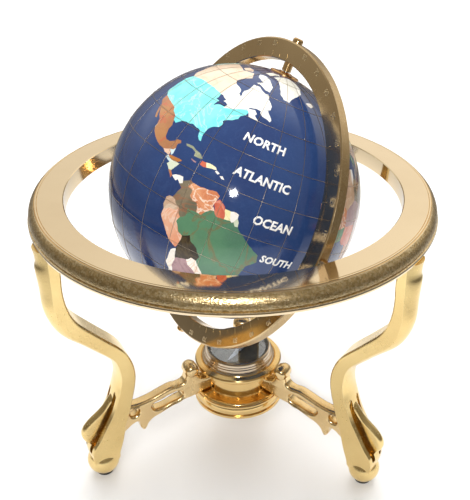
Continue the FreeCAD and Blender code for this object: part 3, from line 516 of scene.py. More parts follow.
# Every stone: its kind and its outline as (longitude, latitude). Neighbours share their corner points.
LANDS = {
    "united_states": ("turquoise", [
        (-122.2, 49), (-102.3, 50.5), (-88.8, 49.1), (-88.3, 47.1), (-88.6, 45.9), (-86.1, 45.7),
        (-86.7, 44.4), (-86.4, 42.3), (-84.8, 43.7), (-83.2, 44.2), (-80.6, 44.4), (-81, 43.5),
        (-76.9, 44.8), (-71.7, 46.7), (-68.5, 48.2), (-67, 47), (-67.8, 45.1), (-69.6, 43.9), (-69.8, 41.9),
        (-73.1, 40), (-76, 38.4), (-74.8, 36.8), (-75.9, 35.5), (-78.7, 33.8), (-80, 32.6), (-80.2, 31.1),
        (-80.2, 29.5), (-79.7, 28.2), (-79.6, 26.7), (-80.6, 26.8), (-81.7, 28), (-82.5, 30), (-83.9, 30.6),
        (-86, 30.8), (-87.9, 31.1), (-89.6, 30.7), (-91.6, 30.6), (-93.7, 30.1), (-95.1, 28.8), (-96, 27.8),
        (-98.1, 28.5), (-99.6, 30.4), (-102.6, 31.3), (-104, 33), (-107.5, 33.6), (-112, 34.2),
        (-117.5, 34.9), (-120.9, 36.2), (-122, 37.9), (-122.9, 41.7), (-124.5, 46.2)]),
    "mexico": ("jasper", [
        (-117.5, 34.9), (-112, 34.2), (-107.5, 33.6), (-104, 33), (-102.6, 31.3), (-99.6, 30.4),
        (-98.1, 28.5), (-96.7, 26.6), (-97, 24.8), (-96.7, 23), (-95.9, 21.4), (-94.7, 20.2), (-92.5, 20.4),
        (-90.5, 21.6), (-89.5, 22.6), (-87.7, 23.1), (-86.9, 22.2), (-88.2, 21.2), (-87.9, 19.3),
        (-88.8, 18.3), (-90.3, 18.1), (-91.8, 17.2), (-93.1, 16.8), (-95.9, 17.2), (-98.1, 17.7),
        (-101.3, 18.9), (-103.5, 20.3), (-104.8, 21.7), (-105.2, 23.6), (-106.4, 25.6), (-109.7, 27.7),
        (-112.8, 29.7), (-115.3, 31.6), (-117.3, 32.8)]),
    "baja": ("jasper", [
        (-117.3, 32.8), (-113.8, 30.2), (-113.5, 28.7), (-111.5, 26.5), (-109.9, 25), (-108.7, 25.4),
        (-110.5, 27.4), (-112.1, 29)]),
    "guatemala": ("peach", [
        (-91.8, 17.2), (-90.3, 18.1), (-89.3, 17.3), (-89.1, 15.5), (-91.7, 15.9), (-93.1, 16.8)]),
    "belize": ("ice", [
        (-90.3, 18.1), (-88.8, 18.3), (-87.9, 19.3), (-87.8, 17.1), (-88.3, 16.2), (-89.3, 17.3)]),
    "honduras": ("amber", [
        (-88.3, 16.2), (-85.6, 16.5), (-82.4, 16.6), (-82.5, 15.9), (-84.5, 14.9), (-87.1, 14.8),
        (-89.1, 15.5)]),
    "salvador": ("ice", [
        (-90.1, 14.8), (-89.1, 15.5), (-87.1, 14.8), (-87.2, 13.9), (-88.6, 14)]),
    "nicaragua": ("sage", [
        (-87.9, 12.6), (-87.2, 13.9), (-87.1, 14.8), (-84.5, 14.9), (-82.7, 14.7), (-83.6, 12.9),
        (-84.7, 11.1), (-86.1, 11)]),
    "costa_rica": ("jasper", [
        (-86.1, 11), (-84.7, 11.1), (-83.2, 9.8), (-83.5, 8.4)]),
    "panama": ("white", [
        (-83.2, 9.8), (-81.9, 10.7), (-80.1, 11.2), (-78.5, 11.2), (-77.8, 9.9), (-77.5, 8.9), (-78.8, 8.2),
        (-80.1, 9.4), (-81, 8.4)]),
    "cuba": ("moss", [
        (-84.7, 23.2), (-83.2, 23.5), (-80.9, 23.5), (-79.2, 22.8), (-76.9, 22.5), (-74.4, 20.8),
        (-76, 20.4), (-78.5, 20.3), (-79, 21.9), (-80.7, 22.5), (-84.1, 22.4)]),
    "jamaica": ("mauve", [
        (-79.1, 18.9), (-76.3, 18.9), (-76.2, 18.4), (-78.7, 18.5)]),
    "haiti": ("brick", [
        (-74.5, 18.6), (-74.2, 20.1), (-72.2, 20.4), (-71.4, 18.5), (-72.7, 18.1)]),
    "dominica": ("straw", [
        (-72.2, 20.4), (-70.9, 20.7), (-67.8, 20.3), (-67, 19.5), (-71.4, 18.5)]),
    "puerto_rico": ("white", [
        (-67.4, 18.8), (-66.9, 19.3), (-65.3, 18.6), (-65.8, 18)]),
    "antilles": ("white", [
        (-64.9, 17.6), (-63.7, 18), (-62.4, 17), (-63.8, 16.8)]),
    "colombia": ("olive", [
        (-77.8, 9.9), (-75.1, 11.4), (-73.4, 10.9), (-74.8, 9), (-72.8, 8.2), (-72.6, 5.8), (-70.7, 4.5),
        (-69.2, 4.8), (-68.3, 3.1), (-67.8, 1.3), (-71.4, 0.9), (-71.1, -2.1), (-71.9, -3.2), (-73.3, -3.7),
        (-74.5, -2.5), (-74.8, -0.5), (-77, 0.6), (-78, 1.7), (-79.3, 2.1), (-78.1, 5.3), (-77.2, 7),
        (-78.8, 8.2), (-77.5, 8.9)]),
    "venezuela": ("breccia", [
        (-73.4, 10.9), (-70.3, 10.7), (-66.1, 11.3), (-63.3, 11.8), (-61.7, 10.8), (-62.2, 8.5),
        (-62.5, 7.5), (-62.6, 6.2), (-61.4, 4.6), (-63, 4.1), (-65.9, 1.1), (-67.8, 1.3), (-68.3, 3.1),
        (-69.2, 4.8), (-70.7, 4.5), (-72.6, 5.8), (-72.8, 8.2), (-74.8, 9)]),
    "guyana": ("brick", [
        (-62.5, 7.5), (-62.2, 8.5), (-61.2, 9.5), (-59, 8.4), (-57.6, 7.1), (-56.6, 3.1), (-59.9, 2.7),
        (-61.4, 4.6)]),
    "suriname": ("straw", [
        (-57.6, 7.1), (-55.4, 6.9), (-54.3, 3.6), (-56.6, 3.1)]),
    "cayenne": ("white", [
        (-55.4, 6.9), (-53.7, 7.4), (-51.9, 7), (-51.7, 5.3), (-53.2, 3), (-54.3, 3.6)]),
    "amapa": ("sage", [
        (-51.7, 5.3), (-50.4, 4.1), (-50.4, 2.2), (-51.7, 2), (-52.8, 3.6)]),
    "ecuador": ("tan", [
        (-81.9, 1.1), (-80.6, 2.1), (-79.3, 2.1), (-78, 1.7), (-77, 0.6), (-74.8, -0.5), (-76, -1.8),
        (-78.9, -2.4), (-81.4, -4), (-82.1, -1.9), (-81.7, -0.4)]),
    "peru": ("rust", [
        (-81.4, -4), (-78.9, -2.4), (-76, -1.8), (-74.8, -0.5), (-74.5, -2.5), (-73.3, -3.7), (-74.1, -5),
        (-74.3, -6), (-72.3, -9.7), (-70.1, -10.6), (-70, -12.5), (-70.8, -14.9), (-71.7, -16.9),
        (-73.6, -15.9), (-75.4, -14.8), (-76.9, -13.1), (-78.4, -10.5), (-80.3, -8.6), (-81.8, -6.6)]),
    "bolivia": ("coal", [
        (-70.1, -10.6), (-67.2, -9.1), (-66.1, -11), (-62.6, -13.3), (-60.4, -16.4), (-61.3, -18.9),
        (-63.5, -18.3), (-65.4, -20.3), (-67.8, -20.7), (-70.6, -22), (-71.4, -17.4), (-70.8, -14.9),
        (-70, -12.5)]),
    "paraguay": ("flame", [
        (-65.4, -20.3), (-63.5, -18.3), (-61.3, -18.9), (-57.5, -23), (-56, -26), (-58.5, -27),
        (-61.3, -24.4), (-64.3, -22.4)]),
    "chile": ("white", [
        (-73.4, -19), (-71.4, -17.4), (-70.6, -22), (-71.4, -27), (-70, -33), (-71.5, -40), (-72, -50),
        (-69, -52), (-66, -55), (-74, -53), (-75.5, -47), (-73.5, -38), (-72.5, -30), (-74.5, -26),
        (-73.8, -21.9)]),
    "argentina": ("mauve", [
        (-70.6, -22), (-67.8, -20.7), (-65.4, -20.3), (-64.3, -22.4), (-61.3, -24.4), (-58.5, -27),
        (-57.5, -30), (-58, -33), (-57, -37), (-62, -39), (-65, -43), (-67, -47), (-69, -52), (-72, -50),
        (-71.5, -40), (-70, -33), (-71.4, -27)]),
    "uruguay": ("straw", [
        (-57.5, -30), (-54, -33.5), (-57, -34.8), (-58, -33)]),
    "brazil": ("forest", [
        (-74.1, -5), (-73.3, -3.7), (-71.9, -3.2), (-71.1, -2.1), (-71.4, 0.9), (-67.8, 1.3), (-65.9, 1.1),
        (-63, 4.1), (-61.4, 4.6), (-59.9, 2.7), (-56.6, 3.1), (-54.3, 3.6), (-53.2, 3), (-52.8, 3.6),
        (-51.7, 2), (-50.4, 2.2), (-48.9, 0.6), (-47.3, -0.3), (-45.9, -1.8), (-42.4, -4), (-38.6, -6.2),
        (-37.6, -9.1), (-41.1, -12.7), (-42.1, -17.2), (-42.5, -22), (-48, -26), (-51, -31), (-54, -33.5),
        (-57.5, -30), (-58.5, -27), (-56, -26), (-57.5, -23), (-61.3, -18.9), (-60.4, -16.4),
        (-62.6, -13.3), (-66.1, -11), (-67.2, -9.1), (-70.1, -10.6), (-72.3, -9.7), (-74.3, -6)]),
    "canada_east": ("pearl", [
        (-88.8, 49.1), (-89.1, 55.9), (-88.2, 58.1), (-84.1, 56.9), (-81.1, 55.9), (-79.9, 53.7),
        (-77.6, 52.6), (-78.4, 54.8), (-78.5, 56.2), (-77.2, 58.8), (-78, 62.8), (-72.5, 63.2),
        (-68.6, 61.8), (-64.9, 60.5), (-61.5, 60.8), (-59.3, 58), (-55.6, 54.7), (-55.8, 52.7),
        (-58.7, 51.4), (-60.2, 50.1), (-61.5, 50.3), (-64.4, 50.3), (-67.3, 49.6), (-68.5, 48.2),
        (-71.7, 46.7), (-76.9, 44.8), (-81, 43.5), (-80.6, 44.4), (-80.4, 46), (-83.7, 46.5), (-83.4, 47.7),
        (-87, 49.2)]),
    "maritimes": ("pearl", [
        (-68.5, 48.2), (-66.9, 49), (-64.4, 49.5), (-62, 47.9), (-62.8, 47), (-59.8, 45.4), (-63.4, 45.1),
        (-65.9, 45.1), (-67, 47)]),
    "newfoundland": ("pearl", [
        (-60.4, 50.2), (-56.9, 52), (-55.6, 50.7), (-52.8, 47.9), (-53.5, 46.9), (-56.1, 47.7), (-58.9, 48),
        (-60.9, 49.2)]),
    "canada_west": ("arctic", [
        (-122.2, 49), (-102.3, 50.5), (-88.8, 49.1), (-89.1, 55.9), (-88.2, 58.1), (-92, 60), (-91, 63),
        (-86, 66.5), (-94, 70.5), (-108, 68.5), (-117, 69.5), (-128, 70), (-141, 69.6), (-141, 60.3),
        (-136, 58.5), (-130, 54.5), (-127, 51)]),
    "alaska": ("turquoise", [
        (-141, 69.6), (-156.5, 71.2), (-166, 68), (-161, 66), (-168, 65.5), (-161, 64), (-165, 61.5),
        (-158, 58.5), (-163, 55), (-152, 58.5), (-146, 61), (-136, 58.5), (-141, 60.3)]),
    "baffin": ("pearl", [
        (-61.5, 62.4), (-66, 62.6), (-72.4, 64.6), (-78, 65), (-73, 67.5), (-84, 69.8), (-88, 72.5),
        (-80, 73.5), (-70, 71.5), (-62, 67)]),
    "victoria": ("arctic", [
        (-117, 73), (-105, 73.4), (-99, 71.5), (-105, 69.4), (-115, 70)]),
    "ellesmere": ("pearl", [
        (-90, 76.5), (-79, 76.5), (-64, 81.5), (-75, 83), (-92, 81)]),
    "greenland": ("pearl", [
        (-43, 61.3), (-48, 61.8), (-52, 64.5), (-55, 69.5), (-60, 74.5), (-70, 76.5), (-58, 81.5),
        (-34, 83), (-20, 80.5), (-20, 75), (-26, 70.5), (-38, 65.5)]),
    "iceland": ("white", [
        (-24, 65.5), (-22, 64), (-18.5, 63.4), (-13.7, 65), (-16, 66.5)]),
    "britain": ("brick", [
        (-5.5, 50), (1, 51), (1.6, 52.8), (-0.2, 54), (-2, 56.5), (-3.2, 58.6), (-6, 57), (-3.2, 54.5),
        (-4.5, 53)]),
    "ireland": ("sage", [
        (-10, 52), (-6.3, 52.2), (-6, 54.5), (-8.5, 54.8)]),
    "iberia": ("amber", [
        (-9.3, 43), (-1.8, 43.4), (3.2, 42.4), (-0.5, 38.5), (-2, 36.8), (-6, 36.2), (-9, 37)]),
    "france": ("mauve", [
        (-1.8, 43.4), (-1, 46), (-4.7, 48.4), (1.5, 50.8), (6, 49.5), (8, 48.9), (8, 47.6), (7, 44),
        (3.2, 42.4)]),
    "germany": ("olive", [
        (1.5, 50.8), (4.5, 52.8), (8, 54), (10, 54.6), (14.2, 54), (15, 51), (13.5, 48.5), (8, 47.6),
        (8, 48.9), (6, 49.5)]),
    "denmark": ("white", [
        (8, 54), (8.2, 57), (10.6, 57.7), (10, 54.6)]),
    "italy": ("forest", [
        (7, 44), (8, 47.6), (13.5, 48.5), (16, 47), (13.5, 45.7), (12.4, 44.3), (18.4, 40.2), (16, 38),
        (12, 42), (9, 44.3)]),
    "balkans": ("tan", [
        (13.5, 45.7), (16, 47), (22, 48), (28, 45.5), (28.5, 41.3), (23, 40.5), (23, 37), (21, 38),
        (19.4, 41.5)]),
    "poland": ("peach", [
        (14.2, 54), (21, 55), (21.5, 57.5), (24.5, 59.3), (28, 59.4), (28, 56), (23.5, 52), (24, 50.5),
        (22, 48), (16, 47), (13.5, 48.5), (15, 51)]),
    "ukraine": ("straw", [
        (23.5, 52), (28, 56), (31.5, 53), (34, 52), (40, 49.5), (38.3, 47), (33, 46), (30.5, 46),
        (28, 45.5), (22, 48), (24, 50.5)]),
    "scandinavia": ("rust", [
        (5.5, 59), (8, 58), (10.8, 59.3), (13, 55.5), (16.5, 57), (18.7, 60.3), (17.5, 62), (22, 65.8),
        (24, 65.8), (21, 69), (25, 71), (15, 68.5), (5, 62)]),
    "finland": ("white", [
        (24, 65.8), (25.4, 65), (21.3, 61.5), (23, 60), (28, 60.5), (31, 63), (29, 69), (25, 71), (21, 69)]),
    "russia_west": ("jasper", [
        (28, 59.4), (28, 60.5), (31, 63), (29, 69), (41, 67), (44, 68.5), (54, 68.5), (60, 69.5), (68, 69),
        (66, 61), (60, 54), (61, 51), (50, 51.5), (48, 46), (47.5, 43), (39, 43.7), (38.3, 47), (40, 49.5),
        (34, 52), (31.5, 53), (28, 56)]),
    "russia_middle": ("jasper", [
        (68, 69), (73, 72.5), (80, 73.5), (104, 77.5), (113, 73.8), (112, 66), (115, 58), (108, 50),
        (98, 50.5), (87, 49.5), (80, 51), (71, 54.5), (60, 54), (66, 61)]),
    "russia_east": ("jasper", [
        (113, 73.8), (130, 71.5), (160, 70), (179, 69), (178, 64.5), (171, 60), (163, 60), (162, 56),
        (157, 51.5), (156, 58), (162, 62), (148, 59.5), (138, 54.5), (140, 49), (132, 43.5), (131, 47.8),
        (126, 52.8), (120, 52.5), (115, 49.8), (108, 50), (115, 58), (112, 66)]),
    "kazakh": ("sage", [
        (50, 51.5), (61, 51), (60, 54), (71, 54.5), (80, 51), (87, 49.5), (80, 42.5), (74, 37), (66, 37.5),
        (54, 37.5), (53, 41), (50.5, 45), (48, 46)]),
    "caucasus": ("brick", [
        (39, 43.7), (47.5, 43), (49, 38), (44.5, 39.5), (41.5, 41.5)]),
    "mongolia": ("ice", [
        (87, 49.5), (98, 50.5), (108, 50), (115, 49.8), (119.5, 47), (111, 42.8), (100, 42.5), (91, 45)]),
    "china": ("flame", [
        (74, 37), (80, 42.5), (87, 49.5), (91, 45), (100, 42.5), (111, 42.8), (119.5, 47), (115, 49.8),
        (120, 52.5), (126, 52.8), (131, 47.8), (132, 43.5), (124.5, 40), (121.5, 39), (118, 39), (122, 37),
        (119.3, 35), (122, 30.5), (118, 24.5), (110, 20.5), (108, 21.5), (105, 23), (98.5, 24), (97.5, 28),
        (89, 28), (79, 31.5)]),
    "korea": ("amber", [
        (124.5, 40), (132, 43.5), (129.4, 37), (129, 35), (126.3, 34.5), (126, 38)]),
    "japan": ("pearl", [
        (131, 31.5), (140, 35.3), (141.5, 39), (140.5, 41.3), (139.5, 38.5), (136.8, 37.2), (131, 34.2)]),
    "hokkaido": ("pearl", [
        (140.3, 41.7), (145.3, 43.3), (142, 45.3)]),
    "india": ("rust", [
        (74, 37), (79, 31.5), (89, 28), (97.5, 28), (93, 23), (92, 21.5), (87, 21.3), (80.3, 15), (80, 12),
        (77.5, 8), (73, 17), (72.8, 20.5), (69, 22.3), (68, 23.7), (70, 28), (74.5, 32)]),
    "afghan": ("olive", [
        (61.5, 25.2), (67, 24.7), (68, 23.7), (70, 28), (74.5, 32), (74, 37), (66, 37.5), (61, 35.5),
        (61, 31)]),
    "iran": ("turquoise", [
        (48.5, 30), (50.5, 29.5), (52, 27.5), (57, 26.8), (61.5, 25.2), (61, 31), (61, 35.5), (66, 37.5),
        (54, 37.5), (49, 38), (44.5, 39.5), (46, 34.5)]),
    "turkey": ("moss", [
        (26.5, 40.3), (35, 42), (41.5, 41.5), (44.5, 39.5), (43, 37.2), (36, 36.7), (30.5, 36.5),
        (27.3, 37)]),
    "iraq": ("peach", [
        (36, 36.7), (43, 37.2), (44.5, 39.5), (46, 34.5), (48.5, 30), (44.5, 29.2), (39, 32.2),
        (35.5, 31.5)]),
    "arabia": ("tan", [
        (34.9, 29.5), (35.5, 31.5), (39, 32.2), (44.5, 29.2), (48.5, 30), (51, 25), (54, 24), (56.3, 26),
        (59.8, 22.5), (55, 17.5), (45, 12.8), (42.7, 16.5), (39, 21.5)]),
    "indochina": ("forest", [
        (97.5, 28), (98.5, 24), (105, 23), (108, 21.5), (105.8, 18.8), (109.3, 13), (107, 10.4), (105, 8.7),
        (102.5, 12), (100.5, 13.5), (99.5, 9.5), (103.5, 1.5), (101, 3), (98.3, 8), (98.5, 14), (94.3, 16),
        (92, 21.5), (93, 23)]),
    "ceylon": ("straw", [
        (80, 9.6), (81.8, 7.5), (80.5, 6), (79.8, 7.5)]),
    "sumatra": ("breccia", [
        (95.4, 5.5), (104, -1.5), (105.8, -5.8), (101, -2.5)]),
    "java": ("breccia", [
        (105.5, -6.5), (114, -7.6), (114, -8.6), (106.5, -7.4)]),
    "borneo": ("moss", [
        (109, 1.8), (117, 7), (118.5, 1), (116, -4), (110.2, -2.5)]),
    "luzon": ("brick", [
        (120.3, 18.3), (122.2, 18.2), (124, 12.8), (120.5, 14)]),
    "mindanao": ("brick", [
        (122, 7), (125.5, 9.7), (126.4, 6.5)]),
    "new_guinea": ("sage", [
        (131, -1), (137.5, -1.6), (144.5, -3.9), (150.5, -10.3), (144, -7.7), (138.5, -8.2), (133, -4)]),
    "australia_west": ("rust", [
        (114, -22), (122, -17.5), (129, -15), (129, -26), (129, -31.6), (123.5, -34), (115.2, -34.3),
        (115.6, -31.5), (113.5, -26)]),
    "australia_north": ("straw", [
        (129, -15), (131, -12), (137, -12.2), (138, -16.5), (138, -26), (129, -26)]),
    "australia_east": ("tan", [
        (138, -16.5), (141, -17.5), (142.5, -11), (146, -19), (153, -25.5), (153.4, -28.5), (141, -29),
        (141, -26), (138, -26)]),
    "australia_south": ("peach", [
        (129, -26), (138, -26), (141, -26), (141, -29), (141, -38), (138.5, -35.6), (134, -33),
        (129, -31.6)]),
    "australia_southeast": ("white", [
        (141, -29), (153.4, -28.5), (150, -37.5), (146.5, -39), (141, -38)]),
    "tasmania": ("moss", [
        (144.7, -40.8), (148.3, -41), (146.8, -43.6)]),
    "new_zealand_north": ("ice", [
        (172.7, -34.5), (178.4, -37.8), (175.3, -41.5), (174, -39.3), (174.6, -37)]),
    "new_zealand_south": ("ice", [
        (172.8, -40.6), (174.2, -41.8), (170.5, -46), (166.5, -46), (170.5, -43)]),
    "morocco": ("amber", [
        (-6, 35.8), (-2, 35), (-1.5, 32), (-8.7, 27.3), (-13, 27.7)]),
    "algeria": ("tan", [
        (-2, 35), (8.3, 37), (8, 33), (9.5, 30.2), (11.5, 24), (3, 19.5), (-5, 25), (-8.7, 27.3),
        (-1.5, 32)]),
    "tunisia": ("white", [
        (8.3, 37), (10.5, 37), (11, 33.2), (9.5, 30.2), (8, 33)]),
    "libya": ("olive", [
        (11, 33.2), (20, 31), (25, 31.6), (25, 22), (24, 19.5), (11.5, 24), (9.5, 30.2)]),
    "egypt": ("straw", [
        (25, 31.6), (33, 31.2), (34.9, 29.5), (34, 27.5), (37, 22), (25, 22)]),
    "sudan": ("rust", [
        (25, 22), (37, 22), (38.5, 18), (36.5, 14.5), (34, 9), (24, 9), (22, 13), (24, 19.5)]),
    "chad": ("mauve", [
        (11.5, 24), (24, 19.5), (22, 13), (19, 8.5), (15, 9), (14.5, 13), (4, 12.5), (3, 19.5)]),
    "mali": ("breccia", [
        (-8.7, 27.3), (-5, 25), (3, 19.5), (4, 12.5), (-5, 10.5), (-12, 14.5), (-17, 14.5), (-17, 21),
        (-13, 27.7)]),
    "west_africa": ("forest", [
        (-17, 14.5), (-12, 14.5), (-5, 10.5), (4, 12.5), (3, 6.4), (-7.5, 4.4), (-13, 8.5)]),
    "nigeria": ("brick", [
        (4, 12.5), (14.5, 13), (15, 9), (14, 4), (9.8, 3), (9, 4), (6, 4.3), (3, 6.4)]),
    "congo": ("jasper", [
        (15, 9), (19, 8.5), (22, 13), (24, 9), (27, 5), (30, 3.5), (29.5, -4.5), (30.5, -8.5), (28.5, -12),
        (22, -11), (17, -7), (12.2, -6), (9.5, 1), (9.8, 3), (14, 4)]),
    "ethiopia": ("turquoise", [
        (36.5, 14.5), (38.5, 18), (43, 12.5), (48, 8), (42, 4.2), (34, 4.5), (34, 9)]),
    "somalia": ("white", [
        (43, 12.5), (51, 11.8), (41.5, -1.7), (42, 4.2), (48, 8)]),
    "east_africa": ("sage", [
        (30, 3.5), (34, 4.5), (42, 4.2), (41.5, -1.7), (39, -5), (40.5, -10.5), (34.5, -11.5), (30.5, -8.5),
        (29.5, -4.5)]),
    "south_sudan": ("coal", [
        (24, 9), (34, 9), (34, 4.5), (30, 3.5), (27, 5)]),
    "zambia": ("peach", [
        (12.2, -6), (17, -7), (22, -11), (28.5, -12), (30.5, -8.5), (34.5, -11.5), (33, -14), (30, -15.8),
        (25.3, -17.8), (11.8, -17.3)]),
    "mozambique": ("olive", [
        (34.5, -11.5), (40.5, -10.5), (40, -16), (35, -20), (35, -24), (32.5, -27), (31.3, -22.4),
        (33, -17), (30, -15.8), (33, -14)]),
    "zimbabwe": ("pearl", [
        (25.3, -17.8), (30, -15.8), (33, -17), (31.3, -22.4), (27, -22)]),
    "namibia": ("amber", [
        (11.8, -17.3), (25.3, -17.8), (27, -22), (25, -25.5), (20, -28.5), (16.5, -28.6)]),
    "south_africa": ("moss", [
        (16.5, -28.6), (20, -28.5), (25, -25.5), (27, -22), (31.3, -22.4), (32.5, -27), (27, -34),
        (18.5, -34.3)]),
    "madagascar": ("flame", [
        (49.5, -12), (50.3, -16), (47, -25), (44, -24), (44, -17)]),
    "antarctica": ("pearl", [
        (-60, -64), (-70, -72), (-100, -73), (-130, -74.5), (-160, -77), (170, -72), (140, -67),
        (110, -66.5), (80, -68), (50, -67), (20, -70), (-10, -71.5), (-35, -78)]),
}


# ------------------------------------------------------------------ mesh tools
def new_piece(name, mesh, finish, body=None):
    piece = bpy.data.objects.new(name, mesh)
    bpy.context.scene.collection.objects.link(piece)
    mesh.materials.append(finish)
    if body:
        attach(piece, body)
    return piece


def wavy(direction, amount):
    """Moves a coast point a little, always the same way for the same place, so neighbours still meet."""
    shift = noise.turbulence_vector(direction * 22.0, 3, False) * amount
    return (direction + (shift - direction * shift.dot(direction))).normalized()


def stone_mesh(name, outline):
    """A thin closed slab that follows the ball, cut to an outline of longitudes and latitudes."""
    corners = [(map_point(lon, lat, 1.0) - BALL).normalized() for lon, lat in outline]
    edge = []
    for a, b in zip(corners, corners[1:] + corners[:1]):
        steps = max(1, int(math.degrees(a.angle(b)) / 0.9))
        for i in range(steps):
            edge.append(wavy(a.slerp(b, i / steps), 0.006))
    centre = sum(edge, Vector()).normalized()
    across = centre.cross(Vector((0, 0, 1)) if abs(centre.z) < 0.9 else Vector((1, 0, 0))).normalized()
    along = centre.cross(across)

    def flatten(d):
        angle = centre.angle(d)
        side = (d - centre * d.dot(centre))
        side = side.normalized() * angle if side.length > 1e-9 else side
        return Vector((side.dot(across), side.dot(along)))

    def raise_up(p):
        angle = p.length
        if angle < 1e-9:
            return centre.copy()
        side = (across * p.x + along * p.y) / angle
        return centre * math.cos(angle) + side * math.sin(angle)

    flat = [flatten(d) for d in edge]
    count = len(flat)
    step = math.radians(2.2)
    low = [min(p[i] for p in flat) for i in (0, 1)]
    high = [max(p[i] for p in flat) for i in (0, 1)]
    inner = []
    for i in range(int((high[0] - low[0]) / step) + 1):
        for j in range(int((high[1] - low[1]) / step) + 1):
            p = Vector((low[0] + (i + 0.5 * (j % 2)) * step, low[1] + j * step))
            if min((p - q).length for q in flat) > step * 0.45:
                inner.append(p)
    sides = [(i, (i + 1) % count) for i in range(count)]
    points, _, faces, _, _, _ = geometry.delaunay_2d_cdt(flat + inner, sides, [], 1, 1e-7)
    used = sorted({v for face in faces for v in face})
    place_of = {v: i for i, v in enumerate(used)}
    total = len(used)
    tops = [raise_up(points[v]) for v in used]
    verts = [BALL + d * STONE_TOP for d in tops] + [BALL + d * STONE_BED for d in tops]
    skins = []
    sides_seen = {}
    for face in faces:
        ring = [place_of[v] for v in face]
        a, b, c = (verts[i] for i in ring[:3])
        if (b - a).cross(c - a).dot(a - BALL) < 0:
            ring.reverse()
        skins.append(ring)
        for u, v in zip(ring, ring[1:] + ring[:1]):
            sides_seen[(u, v)] = True
    walls = [(u, v) for u, v in sides_seen if (v, u) not in sides_seen]
    everything = skins + [[i + total for i in reversed(ring)] for ring in skins]
    everything += [[v, u, u + total, v + total] for u, v in walls]
    mesh = bpy.data.meshes.new(name)
    mesh.from_pydata([tuple(v) for v in verts], [], everything)
    mesh.validate()
    mesh.shade_smooth()
    rim = {tuple(sorted(pair)) for pair in walls}
    rim |= {tuple(sorted((u + total, v + total))) for u, v in walls}
    sharp = mesh.attributes.new("sharp_edge", "BOOLEAN", "EDGE")
    sharp.data.foreach_set("value", [tuple(sorted(e.vertices)) in rim for e in mesh.edges])
    return mesh


def ball_shell():
    """The blue stone shell: an outer and an inner skin joined round the two axle holes."""
    rings, turns = 96, 192
    hole = 3.4 * MM
    verts, faces = [], []
    for radius in (BALL_RADIUS, CORE_RADIUS):
        start = math.asin(hole / radius)
        for i in range(rings + 1):
            polar = start + (math.pi - 2 * start) * i / rings
            for j in range(turns):
                turn = 2 * math.pi * j / turns
                local = Vector((math.sin(polar) * math.cos(turn), math.sin(polar) * math.sin(turn),
                                math.cos(polar)))
                verts.append(tuple(BALL + AXES @ local * radius))
    layer = (rings + 1) * turns
    for i in range(rings):
        for j in range(turns):
            a, b = i * turns + j, i * turns + (j + 1) % turns
            faces.append((a, a + turns, b + turns, b))
            faces.append((layer + a, layer + b, layer + b + turns, layer + a + turns))
    for j in range(turns):
        k = (j + 1) % turns
        faces.append((j, k, layer + k, layer + j))
        end = rings * turns
        faces.append((end + j, layer + end + j, layer + end + k, end + k))
    mesh = bpy.data.meshes.new("ocean_shell")
    mesh.from_pydata(verts, [], faces)
    mesh.shade_smooth()
    mesh.set_sharp_from_angle(angle=math.radians(40))
    return mesh


def wire_mesh(name, paths, radius, sides=6):
    """Round wires along closed or open paths, each a list of points and whether it closes."""
    verts, faces = [], []
    for points, closed in paths:
        base = len(verts)
        count = len(points)
        for i, p in enumerate(points):
            ahead = points[(i + 1) % count] if closed or i + 1 < count else p
            behind = points[i - 1] if closed or i > 0 else p
            run = (ahead - behind).normalized()
            out = (p - BALL).normalized()
            side = run.cross(out).normalized()
            for k in range(sides):
                turn = 2 * math.pi * k / sides
                verts.append(tuple(p + (side * math.cos(turn) + out * math.sin(turn)) * radius))
        for i in range(count if closed else count - 1):
            for k in range(sides):
                a = base + i * sides + k
                b = base + i * sides + (k + 1) % sides
                c = base + ((i + 1) % count) * sides + (k + 1) % sides
                d = base + ((i + 1) % count) * sides + k
                faces.append((a, b, c, d))
        if not closed:
            faces.append(tuple(base + k for k in reversed(range(sides))))
            faces.append(tuple(base + (count - 1) * sides + k for k in range(sides)))
    mesh = bpy.data.meshes.new(name)
    mesh.from_pydata(verts, [], faces)
    mesh.shade_smooth()
    return mesh


# ------------------------------------------------------------------ the ball
ocean = new_piece("ocean_shell", ball_shell(), OCEAN_STONE, "globe")
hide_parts("ocean_layer")
# One stone of each land stands for that land's CAD solid.
CARRIES = {
    "united_states": "land_north_america", "brazil": "land_south_america", "greenland": "land_greenland",
    "congo": "land_africa", "russia_middle": "land_eurasia", "australia_west": "land_australia",
}
for name, (kind, outline) in LANDS.items():
    piece = new_piece("stone_" + name, stone_mesh(name, outline), STONES[kind], "globe")
    if name in CARRIES:
        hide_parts(CARRIES[name])

GRID_WIRE = metal("thin_grid_wire", (0.50, 0.42, 0.33), (0.34, 0.28, 0.21), 0.3, 0.45, cloud=60.0)
GRID_STEP = 15              # degrees between the wires
WIRE_RADIUS = 0.12 * MM
grid = [([map_point(lon, lat, WIRE_LIFT) for lat in range(-82, 83, 2)], False)
        for lon in range(-180, 180, GRID_STEP)]
grid += [([map_point(lon, lat, WIRE_LIFT) for lon in range(-180, 180, 2)], True)
         for lat in range(-75, 76, GRID_STEP)]
new_piece("grid_wires", wire_mesh("grid_wires", grid, WIRE_RADIUS), GRID_WIRE, "globe")


THIN_STROKE = 0.018         # how much a letter's strokes are fattened, as a part of its height
BOLD_STROKE = 0.034
LETTER_SUNK = 0.02 * MM
LETTER_THICK = 0.06 * MM


def curve_mesh(curve):
    """The solid mesh that a curve or a text makes."""
    holder = bpy.data.objects.new(curve.name, curve)
    bpy.context.scene.collection.objects.link(holder)
    mesh = bpy.data.meshes.new_from_object(holder)
    bpy.data.objects.remove(holder)
    return mesh


